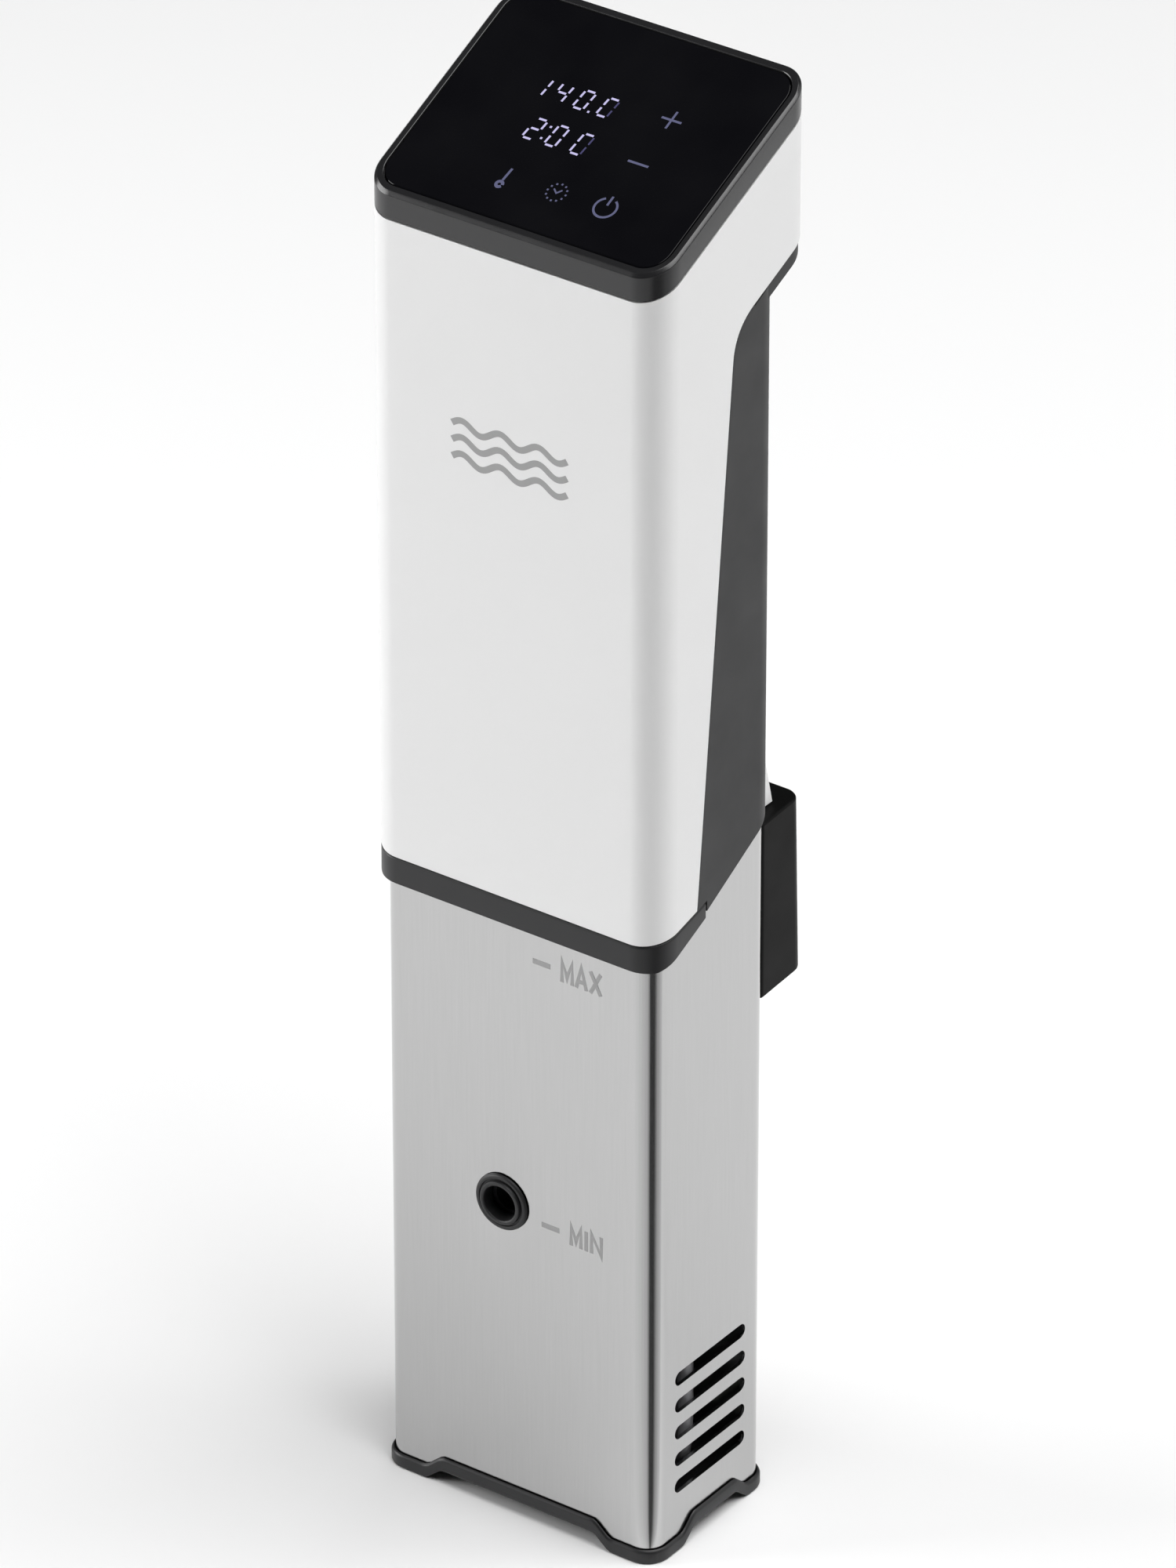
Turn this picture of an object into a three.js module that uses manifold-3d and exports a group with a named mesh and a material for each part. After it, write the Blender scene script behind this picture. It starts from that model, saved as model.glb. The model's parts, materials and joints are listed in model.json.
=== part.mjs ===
// A clip-on immersion circulator: a steel sleeve with heater and pump, a grip, and a tilted touch panel.
// Millimetres, +Z up, the front faces -Y. The origin is under the middle of the footprint.
import * as THREE from 'three';
import { mergeVertices } from 'three/addons/utils/BufferGeometryUtils.js';
import Module from 'manifold-3d';

const wasm = await Module();
wasm.setup();

// ---------- Driving dimensions ----------

const gap = 0.3; // between two pieces that touch
const arcSteps = 3; // a rounded corner has twice as many segments
const margin = 5; // how far a cutting solid runs past what it cuts

// Sleeve
const sleeveWidth = 73.2;
const sleeveDepth = 43.2;
const sleeveCorner = 5;
const sleeveWall = 0.9;
const ventCount = 5;
const ventPitch = 7.08;
const ventHeight = 3.5;
const ventLength = 26.7;
const ventCentreY = 0.2;
const ventLowest = 16.4; // middle of the lowest vent, above the floor
const outletX = -4.4;
const outletZ = 80.7;
const outletBore = 4.25; // radius
const grommetNeck = 0.8; // each grommet step's radius past the bore
const grommetNose = 1.5;
const grommetInnerRim = 2.2;
const grommetRim = 2.7;
const grommetRimProud = 1.1;
const grommetNoseProud = 1.9;
const grommetInnerThickness = 1.2;

// Edge trim and intake floor under the sleeve
const trimHeight = 3.5;
const trimProud = 1;
const trimSole = 1.5; // under the sleeve's edge
const archHeight = 3.5;
const archRun = 4.1; // length of the arch's sloping end
const footLengthX = 11.4; // from the sleeve's side to the start of the arch
const footLengthY = 9.4;
const sideArchY = 1.5; // how far the side arches lie behind the middle
const floorThickness = 1.5;
const floorSlotWidth = 3.5;
const floorSlotPitch = 7.5;
const floorSlots = 7;

// Housing
const immersedHeight = 153.6; // floor to the collar's lower edge
const collarHeight = 6.5;
const gripHeight = 127.2; // collar to the head's lower edge, at the front
const headHeight = 29;
const bezelHeight = 6.5;
const headOverhang = 11; // head past the back of the grip
const collarProudFront = 1.95;
const collarProudSide = 2.1;
const housingCorner = 7.5;
const housingWall = 2.4;
const seam = 0.4; // groove between two housing pieces
const panelTilt = 24.8; // degrees
const lipThickness = 2.6; // dark edge under the head
const lipInset = 1.2;
const splitSetback = 14.8; // front face to the foot of the seam between the two shells
const splitLean = 5.33; // degrees
const splitFilletRun = 7.5;
const collarTopSlope = 13.8; // degrees, the collar's upper edge
const collarSlope = 24.3; // degrees, the collar's lower edge
const collarFlat = 2.6; // level stretch of the collar's lower edge
const skirtSetback = 18.1; // front face to the rear shell's lower corner
const skirtRise = 1.6;
const skirtSlope = 29; // degrees, the rear shell's lower edge

// Base of the housing
const spigotDrop = 11; // below the collar's lower edge
const spigotClearance = 0.6;
const spigotWall = 2.5;
const flangeThickness = 4;
const deckAbove = 20; // deck's underside above the collar's lower edge
const deckThickness = 4;
const sealAbove = 5.3; // above the spigot's foot
const sealHeight = 2.4;
const sealDepth = 1.4;
const sealClearance = 0.15;

// Touch panel stack, measured upright from the bezel's lower edge
const bezelRim = 2;
const bezelLedge = 4.6;
const ledgeTop = 3.2;
const gasketThickness = 0.7;
const glassThickness = 1.9;
const boardInset = 6.4;
const boardThickness = 1.6;
const boardDrop = 5.5;
const carrierThickness = 2.4;
const displayHalfWidth = 13;
const displayX = -6;
const displayFrom = 17; // from the front face
const displayLength = 24;
const buzzerRadius = 6;
const buzzerHeight = 7;
const carrierFrame = 14; // carrier's opening from the head's front and back

// Drive
const shaftRadius = 2;
const shaftClearance = 0.1;
const tubeRadius = 5;
const tubeBore = 3.6;
const bushingLength = 8;
const shaftSealLength = 3;
const motorRadius = 16.5;
const motorHeight = 40;
const motorCap = 3;
const motorBoreDepth = 12;
const mountRadius = 17.5;
const mountThickness = 2.5;
const damperRadius = 3;
const damperHeight = 12;
const couplerRadius = 4.5;

// Pump
const pumpClearance = 5.4; // pump to the heater's rising leg
const voluteWall = 2.5;
const voluteHeight = 17;
const spoutBore = 3.6;
const spoutWall = 1.6;
const spoutReach = 2.2; // from its mouth to the inside of the sleeve
const inletRadius = 7;
const impellerClearance = 1.2;
const bladeCount = 6;
const bladeThickness = 1.2;
const discThickness = 1.2;
const hubWall = 2;

// Heater and probes
const heaterRadius = 3;
const coilTurns = 4;
const coilPitch = 11.5;
const coilBottom = 14;
const coilGap = 2; // between the coil and the rising leg
const probeTopLength = 5;
const tempProbeRadius = 2;
const tempProbeTip = 68; // above the floor
const probeGap = 1.5; // from the heater's leg to the temperature probe
const levelProbeRadius = 1.5;
const levelProbeTip = 76;
const heaterFlangeThickness = 2;
const heaterGasketThickness = 1.5;

// Power electronics
const sinkHalfDepth = 12;
const sinkHeight = 22;
const sinkBase = 3; // behind the fins
const finPitch = 4.4;
const finGap = 2.4;
const triacHalf = 5;
const triacThickness = 4.5;
const tabThickness = 1.3;
const cutoutRadius = 5;
const cutoutHeight = 5.7;
const boardHeight = 74;
const boardRise = 12; // above the motor's foot
const relaySize = [14, 15, 19];
const transformerSize = [16, 20, 20];
const bobbinFlange = 5;
const capacitorRadius = 6;
const capacitorLength = 22;

// Clamp
const clampGap = 4.5; // sleeve to pads
const padThickness = 1.6;
const padProud = 0.8;
const jawHalfWidth = 30.5;
const jawHeight = 44.4; // at its front
const jawDepth = 15.8; // at the top
const jawFlare = 1.6; // how far the jaw's back leans out at its foot
const jawSlope = 3.5; // degrees, the jaw's top and foot rise to the back
const jawCorner = 4;
const jawFrontCorner = 1.5;
const jawBelowPivot = 25;
const padMargin = 4; // pads to the jaw's side and foot, and to its middle
const padBelowTop = 10;
const pivotAbove = 13.1; // above the rear shell's lower edge at the back
const pivotBehind = 6.9; // behind the grip's back
const pinRadius = 1.5;
const earRadius = 3.5;
const earWidth = 3;
const earInner = 11;
const bracketThickness = 2.8;
const leverThickness = 3.5;
const leverBehind = 14.6; // lever's back face behind the grip's back
const leverBaseHalf = 27;
const leverThumbHalf = 19;
const leverTopAbove = 42; // above the pivot
const leverLean = 4.4;
const leverShoulder = 6; // below the pivot
const leverTaper = 3.4; // base to shoulder
const leverCorner = 6;
const knuckleWidth = 3.3;
const pinClearance = 0.15;
const pinHead = 1.2;
const bracketHalfHeight = 10;
const screwSpacing = 7.5; // from the pivot
const screwRadius = 1;
const screwHoleRadius = 1.3;
const screwHeadRadius = 2.2;
const tongueDepth = 11;
const tongueHalf = 18;
const springWire = 0.5;
const springRadius = 2.5;
const springTurns = 5;
const springArm = 5;

// Cord gland
const glandBore = 3.2;
const glandNeck = 5.2;
const glandFlange = 8;
const glandFlangeThickness = 3;
const glandInnerThickness = 2.4;
const glandBelowHead = 20;

// ---------- Places worked out from them ----------

const radians = THREE.MathUtils.degToRad;
const halfWidth = sleeveWidth / 2 + collarProudSide;
const frontY = -sleeveDepth / 2 - collarProudFront;
const gripRear = sleeveDepth / 2;
const headRear = gripRear + headOverhang;
const collarTop = immersedHeight + collarHeight;
const headBase = collarTop + gripHeight;
const bezelBase = headBase + headHeight;
const panelRise = Math.tan(radians(panelTilt));
const rise = (y) => panelRise * (y - frontY);
const spigotBottom = immersedHeight - spigotDrop;
const deckBottom = immersedHeight + deckAbove;
const deckTop = deckBottom + deckThickness;
const splitFootY = frontY + splitSetback;
const skirtY = frontY + skirtSetback;
const collarFlatEnd = frontY + collarFlat;
const collarStepZ = immersedHeight + Math.tan(radians(collarSlope)) * (skirtY - collarFlatEnd);
const skirtLine = (y) => collarStepZ + skirtRise + Math.tan(radians(skirtSlope)) * (y - skirtY);
const spigotInset = sleeveWall + spigotClearance;
const spigotInnerHalf = sleeveWidth / 2 - spigotInset - spigotWall;
const spigotInnerDepth = sleeveDepth / 2 - spigotInset - spigotWall;
const pumpBottom = outletZ - voluteHeight / 2;
const pumpTop = outletZ + voluteHeight / 2;
const legOuterX = spigotInnerHalf - coilGap - heaterRadius;
const coilHalfX = legOuterX - 2 * heaterRadius - coilGap;
const pumpRightX = legOuterX - heaterRadius - pumpClearance;
const voluteRadius = (pumpRightX - outletX + voluteWall + spoutBore) / 2;
const cavityRadius = voluteRadius - voluteWall;
const axisX = outletX + cavityRadius - spoutBore; // the spout leaves the pump as a tangent
const coilHalfY = spigotInnerDepth - coilGap - heaterRadius;
const probeX = spigotInnerHalf / 2;
const probeY = spigotInnerDepth - 3 * tempProbeRadius;
const pivotZ = skirtLine(gripRear) + pivotAbove;
const pivotY = gripRear + pivotBehind;
const jawTop = pivotZ - jawBelowPivot;
const jawFoot = jawTop - jawHeight;
const jawFrontY = gripRear + clampGap + padProud;
const jawRearY = jawFrontY + jawDepth + jawFlare;
const jawRise = (y) => Math.tan(radians(jawSlope)) * (y - jawFrontY);
const leverY = gripRear + leverBehind;

// ---------- Materials ----------

const material = (color, roughness, metalness = 0) =>
  new THREE.MeshStandardMaterial({ color, roughness, metalness });
const whiteShell = material(0xe9e8e6, 0.4);
const greyShell = material(0x4c4c4e, 0.55);
const blackPlastic = material(0x2c2c2e, 0.5);
const bezelPlastic = material(0x4a4a4d, 0.35);
const blackGlass = material(0x08080a, 0.08);
const steel = material(0xb9b9b6, 0.3, 1);
const darkSteel = material(0x77787a, 0.4, 1);
const aluminium = material(0xc3c5c8, 0.45, 1);
const brass = material(0xb08d4a, 0.4, 1);
const rubber = material(0x1c1c1d, 0.8);
const silicone = material(0xb5402a, 0.7);
const board = material(0x1f5b3a, 0.6);
const blackPart = material(0x1a1a1c, 0.5);
const yellowPart = material(0xc9a227, 0.6);

// ---------- Solids ----------

// Turns a closed geometry into a solid, without the slivers that merging its points leaves.
function toSolid(geometry) {
  const bare = new THREE.BufferGeometry();
  bare.setAttribute('position', geometry.getAttribute('position'));
  bare.setIndex(geometry.getIndex());
  const merged = mergeVertices(bare, 1e-3);
  const index = merged.getIndex().array;
  const faces = [];
  for (let i = 0; i < index.length; i += 3) {
    const [a, b, c] = [index[i], index[i + 1], index[i + 2]];
    if (a !== b && b !== c && c !== a) faces.push(a, b, c);
  }
  return new wasm.Manifold(new wasm.Mesh({
    numProp: 3,
    vertProperties: new Float32Array(merged.getAttribute('position').array),
    triVerts: new Uint32Array(faces),
  }));
}

const join = (first, ...rest) => rest.reduce((all, next) => all.add(next), first);
const cut = (first, ...rest) => rest.reduce((all, next) => all.subtract(next), first);
const common = (first, ...rest) => rest.reduce((all, next) => all.intersect(next), first);

function extrude(outline, depth) {
  return new THREE.ExtrudeGeometry(outline, { depth, bevelEnabled: false, curveSegments: arcSteps });
}

// A solid that stands on a plan outline between two heights.
function stand(outline, low, high) {
  return toSolid(extrude(outline, high - low).translate(0, 0, low));
}

const xAxis = new THREE.Vector3(1, 0, 0);
const yAxis = new THREE.Vector3(0, 1, 0);
const zAxis = new THREE.Vector3(0, 0, 1);

// A solid with a side profile of (y, z) points, from one x to another.
function acrossX(profile, from, to) {
  const turn = new THREE.Matrix4().makeBasis(yAxis, zAxis, xAxis);
  return toSolid(extrude(profile, to - from).translate(0, 0, from).applyMatrix4(turn));
}

// A solid with a front profile of (x, z) points, from one y to another.
function alongY(profile, from, to) {
  const turn = new THREE.Matrix4().makeBasis(xAxis, zAxis, yAxis.clone().negate());
  return toSolid(extrude(profile, to - from).translate(0, 0, -to).applyMatrix4(turn));
}

const polygon = (points) => new THREE.Shape(points.map(([a, b]) => new THREE.Vector2(a, b)));

function block(x0, x1, y0, y1, z0, z1) {
  return stand(polygon([[x0, y0], [x1, y0], [x1, y1], [x0, y1]]), z0, z1);
}

function cylinder(radius, length, sides) {
  return new THREE.CylinderGeometry(radius, radius, length, sides);
}

function rodZ(radius, x, y, z0, z1, sides = 16) {
  return toSolid(cylinder(radius, z1 - z0, sides).rotateX(Math.PI / 2).translate(x, y, (z0 + z1) / 2));
}

function rodY(radius, x, z, y0, y1, sides = 16) {
  return toSolid(cylinder(radius, y1 - y0, sides).translate(x, (y0 + y1) / 2, z));
}

function rodX(radius, y, z, x0, x1, sides = 14) {
  return toSolid(cylinder(radius, x1 - x0, sides).rotateZ(Math.PI / 2).translate((x0 + x1) / 2, y, z));
}

// A rounded rectangle seen from above; an inset keeps its wall even round the corners.
function rounded(half, front, rear, frontRadius, rearRadius = frontRadius, inset = 0) {
  const [x, low, high] = [half - inset, front + inset, rear - inset];
  const a = Math.max(frontRadius - inset, 0.5);
  const b = Math.max(rearRadius - inset, 0.5);
  const shape = new THREE.Shape();
  shape.absarc(x - a, low + a, a, -Math.PI / 2, 0);
  shape.absarc(x - b, high - b, b, 0, Math.PI / 2);
  shape.absarc(b - x, high - b, b, Math.PI / 2, Math.PI);
  shape.absarc(a - x, low + a, a, Math.PI, Math.PI * 1.5);
  return shape;
}

const headPlan = (inset) => rounded(halfWidth, frontY, headRear, housingCorner, housingCorner, inset);
const gripPlan = (inset) => rounded(halfWidth, frontY, gripRear, housingCorner, housingCorner, inset);
const sleevePlan = (inset) =>
  rounded(sleeveWidth / 2, -sleeveDepth / 2, sleeveDepth / 2, sleeveCorner, sleeveCorner, inset);

// A tube that follows an outline between two insets.
function wallOf(plan, outer, inner, low, high) {
  return cut(stand(plan(outer), low, high), stand(plan(inner), low - margin, high + margin));
}

// A plate that lies in the touch panel's slope, between two upright offsets from the bezel's lower edge.
function tilted(outline, low, high) {
  const [y0, y1] = [frontY - margin, headRear + margin];
  const [z0, z1] = [bezelBase + rise(y0), bezelBase + rise(y1)];
  const slab = polygon([[y0, z0 + low], [y1, z1 + low], [y1, z1 + high], [y0, z0 + high]]);
  return common(
    stand(outline, z0 + low - margin, z1 + high + margin),
    acrossX(slab, -halfWidth - margin, halfWidth + margin),
  );
}

// A circle for winding a tube along a path, with four points for each division.
function roundSection(radius, divisions) {
  const circle = new THREE.Path().absarc(0, 0, radius, 0, 2 * Math.PI);
  return new THREE.Shape(circle.getPoints(divisions).slice(0, -1));
}

const group = new THREE.Group();
group.position.y = -(frontY + jawRearY) / 2;

// Adds a solid, or a geometry that is already closed, as a named piece.
function piece(name, shape, look) {
  let geometry = shape;
  if (shape instanceof wasm.Manifold) {
    const mesh = shape.getMesh();
    geometry = new THREE.BufferGeometry();
    geometry.setAttribute('position', new THREE.BufferAttribute(mesh.vertProperties, 3));
    geometry.setIndex(new THREE.BufferAttribute(mesh.triVerts, 1));
    geometry.computeVertexNormals();
  }
  const mesh = new THREE.Mesh(geometry, look);
  mesh.name = name;
  group.add(mesh);
}

// ---------- Edges that neighbouring pieces share ----------

// The housing's lower edge, seen from the side, moved up by an offset.
function lowerEdge(offset) {
  const rear = gripRear + margin;
  const points = [[frontY - margin, immersedHeight], [collarFlatEnd, immersedHeight], [skirtY, collarStepZ],
    [skirtY, skirtLine(skirtY)], [rear, skirtLine(rear)]];
  return points.map(([y, z]) => [y, z + offset]);
}

const edgeTop = lowerEdge(0).at(-1)[1];
const collarLine = (y) => collarTop + Math.tan(radians(collarTopSlope)) * (y - frontY);

// The seam between the two shells: up the grip, round a fillet and back under the head.
function seamPoints(shift) {
  const lean = Math.tan(radians(splitLean));
  const footZ = collarLine(splitFootY);
  const cornerY = (splitFootY + lean * (headBase - footZ - panelRise * frontY)) / (1 - lean * panelRise);
  const corner = [cornerY, headBase + rise(cornerY)];
  const below = [corner[0] - splitFilletRun * Math.sin(radians(splitLean)),
    corner[1] - splitFilletRun * Math.cos(radians(splitLean))];
  const behind = [corner[0] + splitFilletRun * Math.cos(radians(panelTilt)),
    corner[1] + splitFilletRun * Math.sin(radians(panelTilt))];
  return [below, corner, behind].map(([y, z]) => [y + shift, z - shift]);
}

// ---------- Sleeve ----------

// An arch under one side, as a trapezium that stands from a base height to a raised top.
function archProfile(half, foot, middle, low, lift) {
  const start = half - foot;
  const top = start - archRun;
  const outline = [[-start, low], [start, low], [start, lift], [top, lift + archHeight],
    [-top, lift + archHeight], [-start, lift]];
  return polygon(outline.map(([along, z]) => [middle + along, z]));
}

function arches(low, lift) {
  const across = archProfile(sleeveDepth / 2, footLengthY, sideArchY, low, lift);
  const along = archProfile(sleeveWidth / 2, footLengthX, 0, low, lift);
  return join(
    acrossX(across, -sleeveWidth, sleeveWidth),
    alongY(along, -sleeveDepth, sleeveDepth),
  );
}

// A slot with round ends through both sides of the sleeve.
function vent(z) {
  const straight = (ventLength - ventHeight) / 2;
  const half = sleeveWidth;
  const radius = ventHeight / 2;
  const [front, rear] = [ventCentreY - straight, ventCentreY + straight];
  const ends = [front, rear].map((y) => rodX(radius, y, z, -half, half, 10));
  const middle = block(-half, half, front, rear, z - radius, z + radius);
  return join(middle, ...ends);
}

function steelSleeve() {
  const edge = lowerEdge(-seam);
  const above = polygon([...edge, [edge.at(-1)[0], edgeTop + margin], [edge[0][0], edgeTop + margin]]);
  const edgeLow = trimSole + gap;
  let sleeve = wallOf(sleevePlan, 0, sleeveWall, edgeLow, edgeTop);
  sleeve = cut(sleeve, acrossX(above, -sleeveWidth, sleeveWidth), arches(-margin, edgeLow));
  for (let i = 0; i < ventCount; i += 1) sleeve = cut(sleeve, vent(ventLowest + i * ventPitch));
  return cut(sleeve, rodY(outletBore + grommetNeck + gap, outletX, outletZ, -sleeveDepth, 0));
}

function sleeveTrim() {
  const ring = wallOf(sleevePlan, -trimProud, sleeveWall + trimProud, 0, trimHeight + archHeight);
  const kept = join(
    block(-sleeveWidth, sleeveWidth, -sleeveDepth, sleeveDepth, -margin, trimHeight),
    arches(-margin, trimHeight),
  );
  const slot = cut(wallOf(sleevePlan, -gap, sleeveWall + gap, trimSole, trimHeight + archHeight + margin),
    arches(-margin, trimSole));
  return cut(common(ring, kept), arches(-margin, 0), slot);
}

function sleeveFloor() {
  const low = trimHeight + archHeight + gap;
  const slotHalf = sleeveDepth / 2 - sleeveCorner - margin;
  let floor = stand(sleevePlan(sleeveWall + gap), low, low + floorThickness);
  for (let i = 0; i < floorSlots; i += 1) {
    const x = (i - (floorSlots - 1) / 2) * floorSlotPitch;
    floor = cut(floor, block(x - floorSlotWidth / 2, x + floorSlotWidth / 2, -slotHalf, slotHalf,
      low - margin, low + margin));
  }
  return floor;
}

function outletGrommet() {
  const outside = -sleeveDepth / 2 - gap;
  const inside = -sleeveDepth / 2 + sleeveWall + gap;
  return cut(
    join(
      rodY(outletBore + grommetRim, outletX, outletZ, outside - grommetRimProud, outside),
      rodY(outletBore + grommetNose, outletX, outletZ, outside - grommetNoseProud, outside),
      rodY(outletBore + grommetNeck, outletX, outletZ, outside - gap, inside + gap),
      rodY(outletBore + grommetInnerRim, outletX, outletZ, inside, inside + grommetInnerThickness),
    ),
    rodY(outletBore, outletX, outletZ, outside - margin, inside + margin),
  );
}

piece('steel_sleeve', steelSleeve(), steel);
piece('sleeve_trim', sleeveTrim(), blackPlastic);
piece('sleeve_floor', sleeveFloor(), blackPlastic);
piece('outlet_grommet', outletGrommet(), rubber);

// ---------- Housing ----------

const sealZ = spigotBottom + sealAbove;

// What passes through the deck.
const tempProbeX = legOuterX - heaterRadius - probeGap - tempProbeRadius;
const tempProbePlace = { x: tempProbeX, y: probeY, r: tempProbeRadius };
const levelProbePlaces = [1, -1].map((side) => ({ x: -probeX, y: side * probeY, r: levelProbeRadius }));
const passages = [
  { x: axisX, y: 0, r: tubeRadius },
  { x: -coilHalfX, y: 0, r: heaterRadius },
  { x: legOuterX, y: 0, r: heaterRadius },
  tempProbePlace,
  ...levelProbePlaces,
];

function pierced(solid) {
  const [low, high] = [deckBottom - 4 * margin, deckTop + margin];
  const holes = passages.map(({ x, y, r }) => rodZ(r + gap, x, y, low, high, 12));
  return cut(solid, ...holes);
}

function housingBase() {
  const wide = halfWidth + margin;
  const flatEnd = lowerEdge(0).slice(0, 3);
  const bandTop = [[skirtY, collarLine(skirtY)], [frontY - margin, collarLine(frontY - margin)]];
  const band = common(
    stand(gripPlan(0), immersedHeight - margin, deckTop + margin),
    acrossX(polygon([...flatEnd, ...bandTop]), -wide, wide),
  );
  const plate = polygon([...lowerEdge(0), ...lowerEdge(flangeThickness).reverse()]);
  const flange = common(
    stand(gripPlan(housingWall + seam), immersedHeight - margin, edgeTop + margin),
    acrossX(plate, -wide, wide),
  );
  const edge = lowerEdge(0);
  const above = polygon([...edge, [edge.at(-1)[0], edgeTop + margin], [edge[0][0], edgeTop + margin]]);
  const shellZone = common(
    wallOf(gripPlan, -margin, housingWall + seam, immersedHeight - margin, edgeTop),
    acrossX(above, -wide, wide),
  );
  const spigot = cut(stand(sleevePlan(spigotInset), spigotBottom, deckTop), shellZone);
  const hollow = stand(sleevePlan(spigotInset + spigotWall), spigotBottom - margin, deckBottom);
  const roomAbove = stand(sleevePlan(spigotInset + spigotWall), deckTop, edgeTop + 2 * margin);
  const groove = wallOf(sleevePlan, -margin, spigotInset + sealDepth, sealZ - gap, sealZ + sealHeight + gap);
  return pierced(cut(join(band, flange, spigot), hollow, roomAbove, groove));
}

function sleeveSeal() {
  const inner = spigotInset + sealDepth - gap;
  return wallOf(sleevePlan, sleeveWall + sealClearance, inner, sealZ, sealZ + sealHeight);
}

function frontHousing() {
  const [below, corner, behind] = seamPoints(0);
  const [y0, y1] = [frontY - margin, headRear + margin];
  const side = new THREE.Shape();
  side.moveTo(y0, collarLine(y0) + seam);
  side.lineTo(splitFootY, collarLine(splitFootY) + seam);
  side.lineTo(...below);
  side.quadraticCurveTo(...corner, ...behind);
  side.lineTo(y1, headBase + rise(y1));
  side.lineTo(y1, bezelBase + rise(y1));
  side.lineTo(y0, bezelBase + rise(y0));
  return common(
    wallOf(headPlan, 0, housingWall, immersedHeight, bezelBase + rise(y1)),
    acrossX(side, -halfWidth - margin, halfWidth + margin),
  );
}

function rearHousing() {
  const [below, corner, behind] = seamPoints(seam);
  const skirtRear = lowerEdge(0).at(-1);
  const lipTop = (y) => behind[1] + panelRise * (y - behind[0]);
  const side = new THREE.Shape();
  side.moveTo(splitFootY + seam, collarLine(splitFootY) + seam);
  side.lineTo(skirtY + seam, collarLine(skirtY + seam) + seam);
  side.lineTo(skirtY + seam, skirtLine(skirtY + seam));
  side.lineTo(...skirtRear);
  side.lineTo(skirtRear[0], lipTop(skirtRear[0]));
  side.lineTo(...behind);
  side.quadraticCurveTo(...corner, ...below);
  const shell = common(
    wallOf(gripPlan, 0, housingWall, immersedHeight, bezelBase + margin),
    acrossX(side, -halfWidth - margin, halfWidth + margin),
  );
  const [y0, y1] = [behind[0], headRear + margin];
  const lipSide = polygon([[y0, lipTop(y0) - lipThickness], [y1, lipTop(y1) - lipThickness],
    [y1, lipTop(y1)], [y0, lipTop(y0)]]);
  const lip = common(
    cut(stand(headPlan(lipInset), headBase, bezelBase + rise(y1)),
      stand(gripPlan(housingWall), headBase - margin, bezelBase + rise(y1) + margin)),
    acrossX(lipSide, -halfWidth, halfWidth),
  );
  const glandHole = rodY(glandNeck + gap, 0, glandZ, 0, gripRear + margin);
  return cut(join(shell, lip), glandHole, ...screwHoles(0));
}

const glandZ = headBase + rise(gripRear) - glandBelowHead;
const screwHeights = [pivotZ - screwSpacing, pivotZ + screwSpacing];

function screwHoles(from) {
  return screwHeights.map((z) => rodY(screwHoleRadius, 0, z, from, gripRear + margin, 12));
}

piece('housing_base', housingBase(), blackPlastic);
piece('sleeve_seal', sleeveSeal(), silicone);
piece('front_housing', frontHousing(), whiteShell);
piece('rear_housing', rearHousing(), greyShell);

function cordGland() {
  const outside = gripRear + gap;
  const inside = gripRear - housingWall - gap;
  return cut(
    join(
      rodY(glandFlange, 0, glandZ, outside, outside + glandFlangeThickness),
      rodY(glandNeck, 0, glandZ, inside - gap, outside + gap),
      rodY(glandFlange - 1, 0, glandZ, inside - glandInnerThickness, inside),
    ),
    rodY(glandBore, 0, glandZ, inside - margin, outside + margin),
  );
}

piece('cord_gland', cordGland(), rubber);

// ---------- Touch panel ----------

const gasketLow = ledgeTop + gap;
const glassLow = gasketLow + gasketThickness + gap;
const boardLow = -boardDrop;
const boardTop = boardLow + boardThickness;
const [panelFront, panelRear] = [frontY + carrierFrame, headRear - carrierFrame];

const panelHole = (inset) => tilted(headPlan(inset), -margin, bezelHeight + margin);
piece('top_bezel', join(
  cut(tilted(headPlan(0), gap, bezelHeight), panelHole(bezelRim)),
  cut(tilted(headPlan(bezelRim / 2), gap, ledgeTop), panelHole(bezelLedge)),
), bezelPlastic);
piece('glass_gasket', cut(
  tilted(headPlan(bezelRim + gap), gasketLow, gasketLow + gasketThickness),
  tilted(headPlan(bezelLedge), gasketLow - margin, gasketLow + margin),
), rubber);
piece('touch_glass', tilted(headPlan(bezelRim + gap), glassLow, glassLow + glassThickness), blackGlass);
piece('display_board', tilted(headPlan(boardInset), boardLow, boardTop), board);
piece('led_display', tilted(
  rounded(displayHalfWidth, frontY + displayFrom, frontY + displayFrom + displayLength, 1),
  boardTop + gap, glassLow - 2 * gap,
).translate([displayX, 0, 0]), blackPart);
piece('display_carrier', cut(
  tilted(headPlan(boardInset - 2), boardLow - gap - carrierThickness, boardLow - gap),
  tilted(rounded(halfWidth - 3 * boardInset / 2, panelFront, panelRear, 3), -6 * margin, margin),
), blackPlastic);

const buzzerY = (panelFront + panelRear) / 2;
const buzzerOutline = new THREE.Shape().absarc(halfWidth / 2, buzzerY, buzzerRadius, 0, 2 * Math.PI);
piece('buzzer', tilted(buzzerOutline, boardLow - gap - buzzerHeight, boardLow - gap), blackPart);

// ---------- Drive and motor ----------

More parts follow.
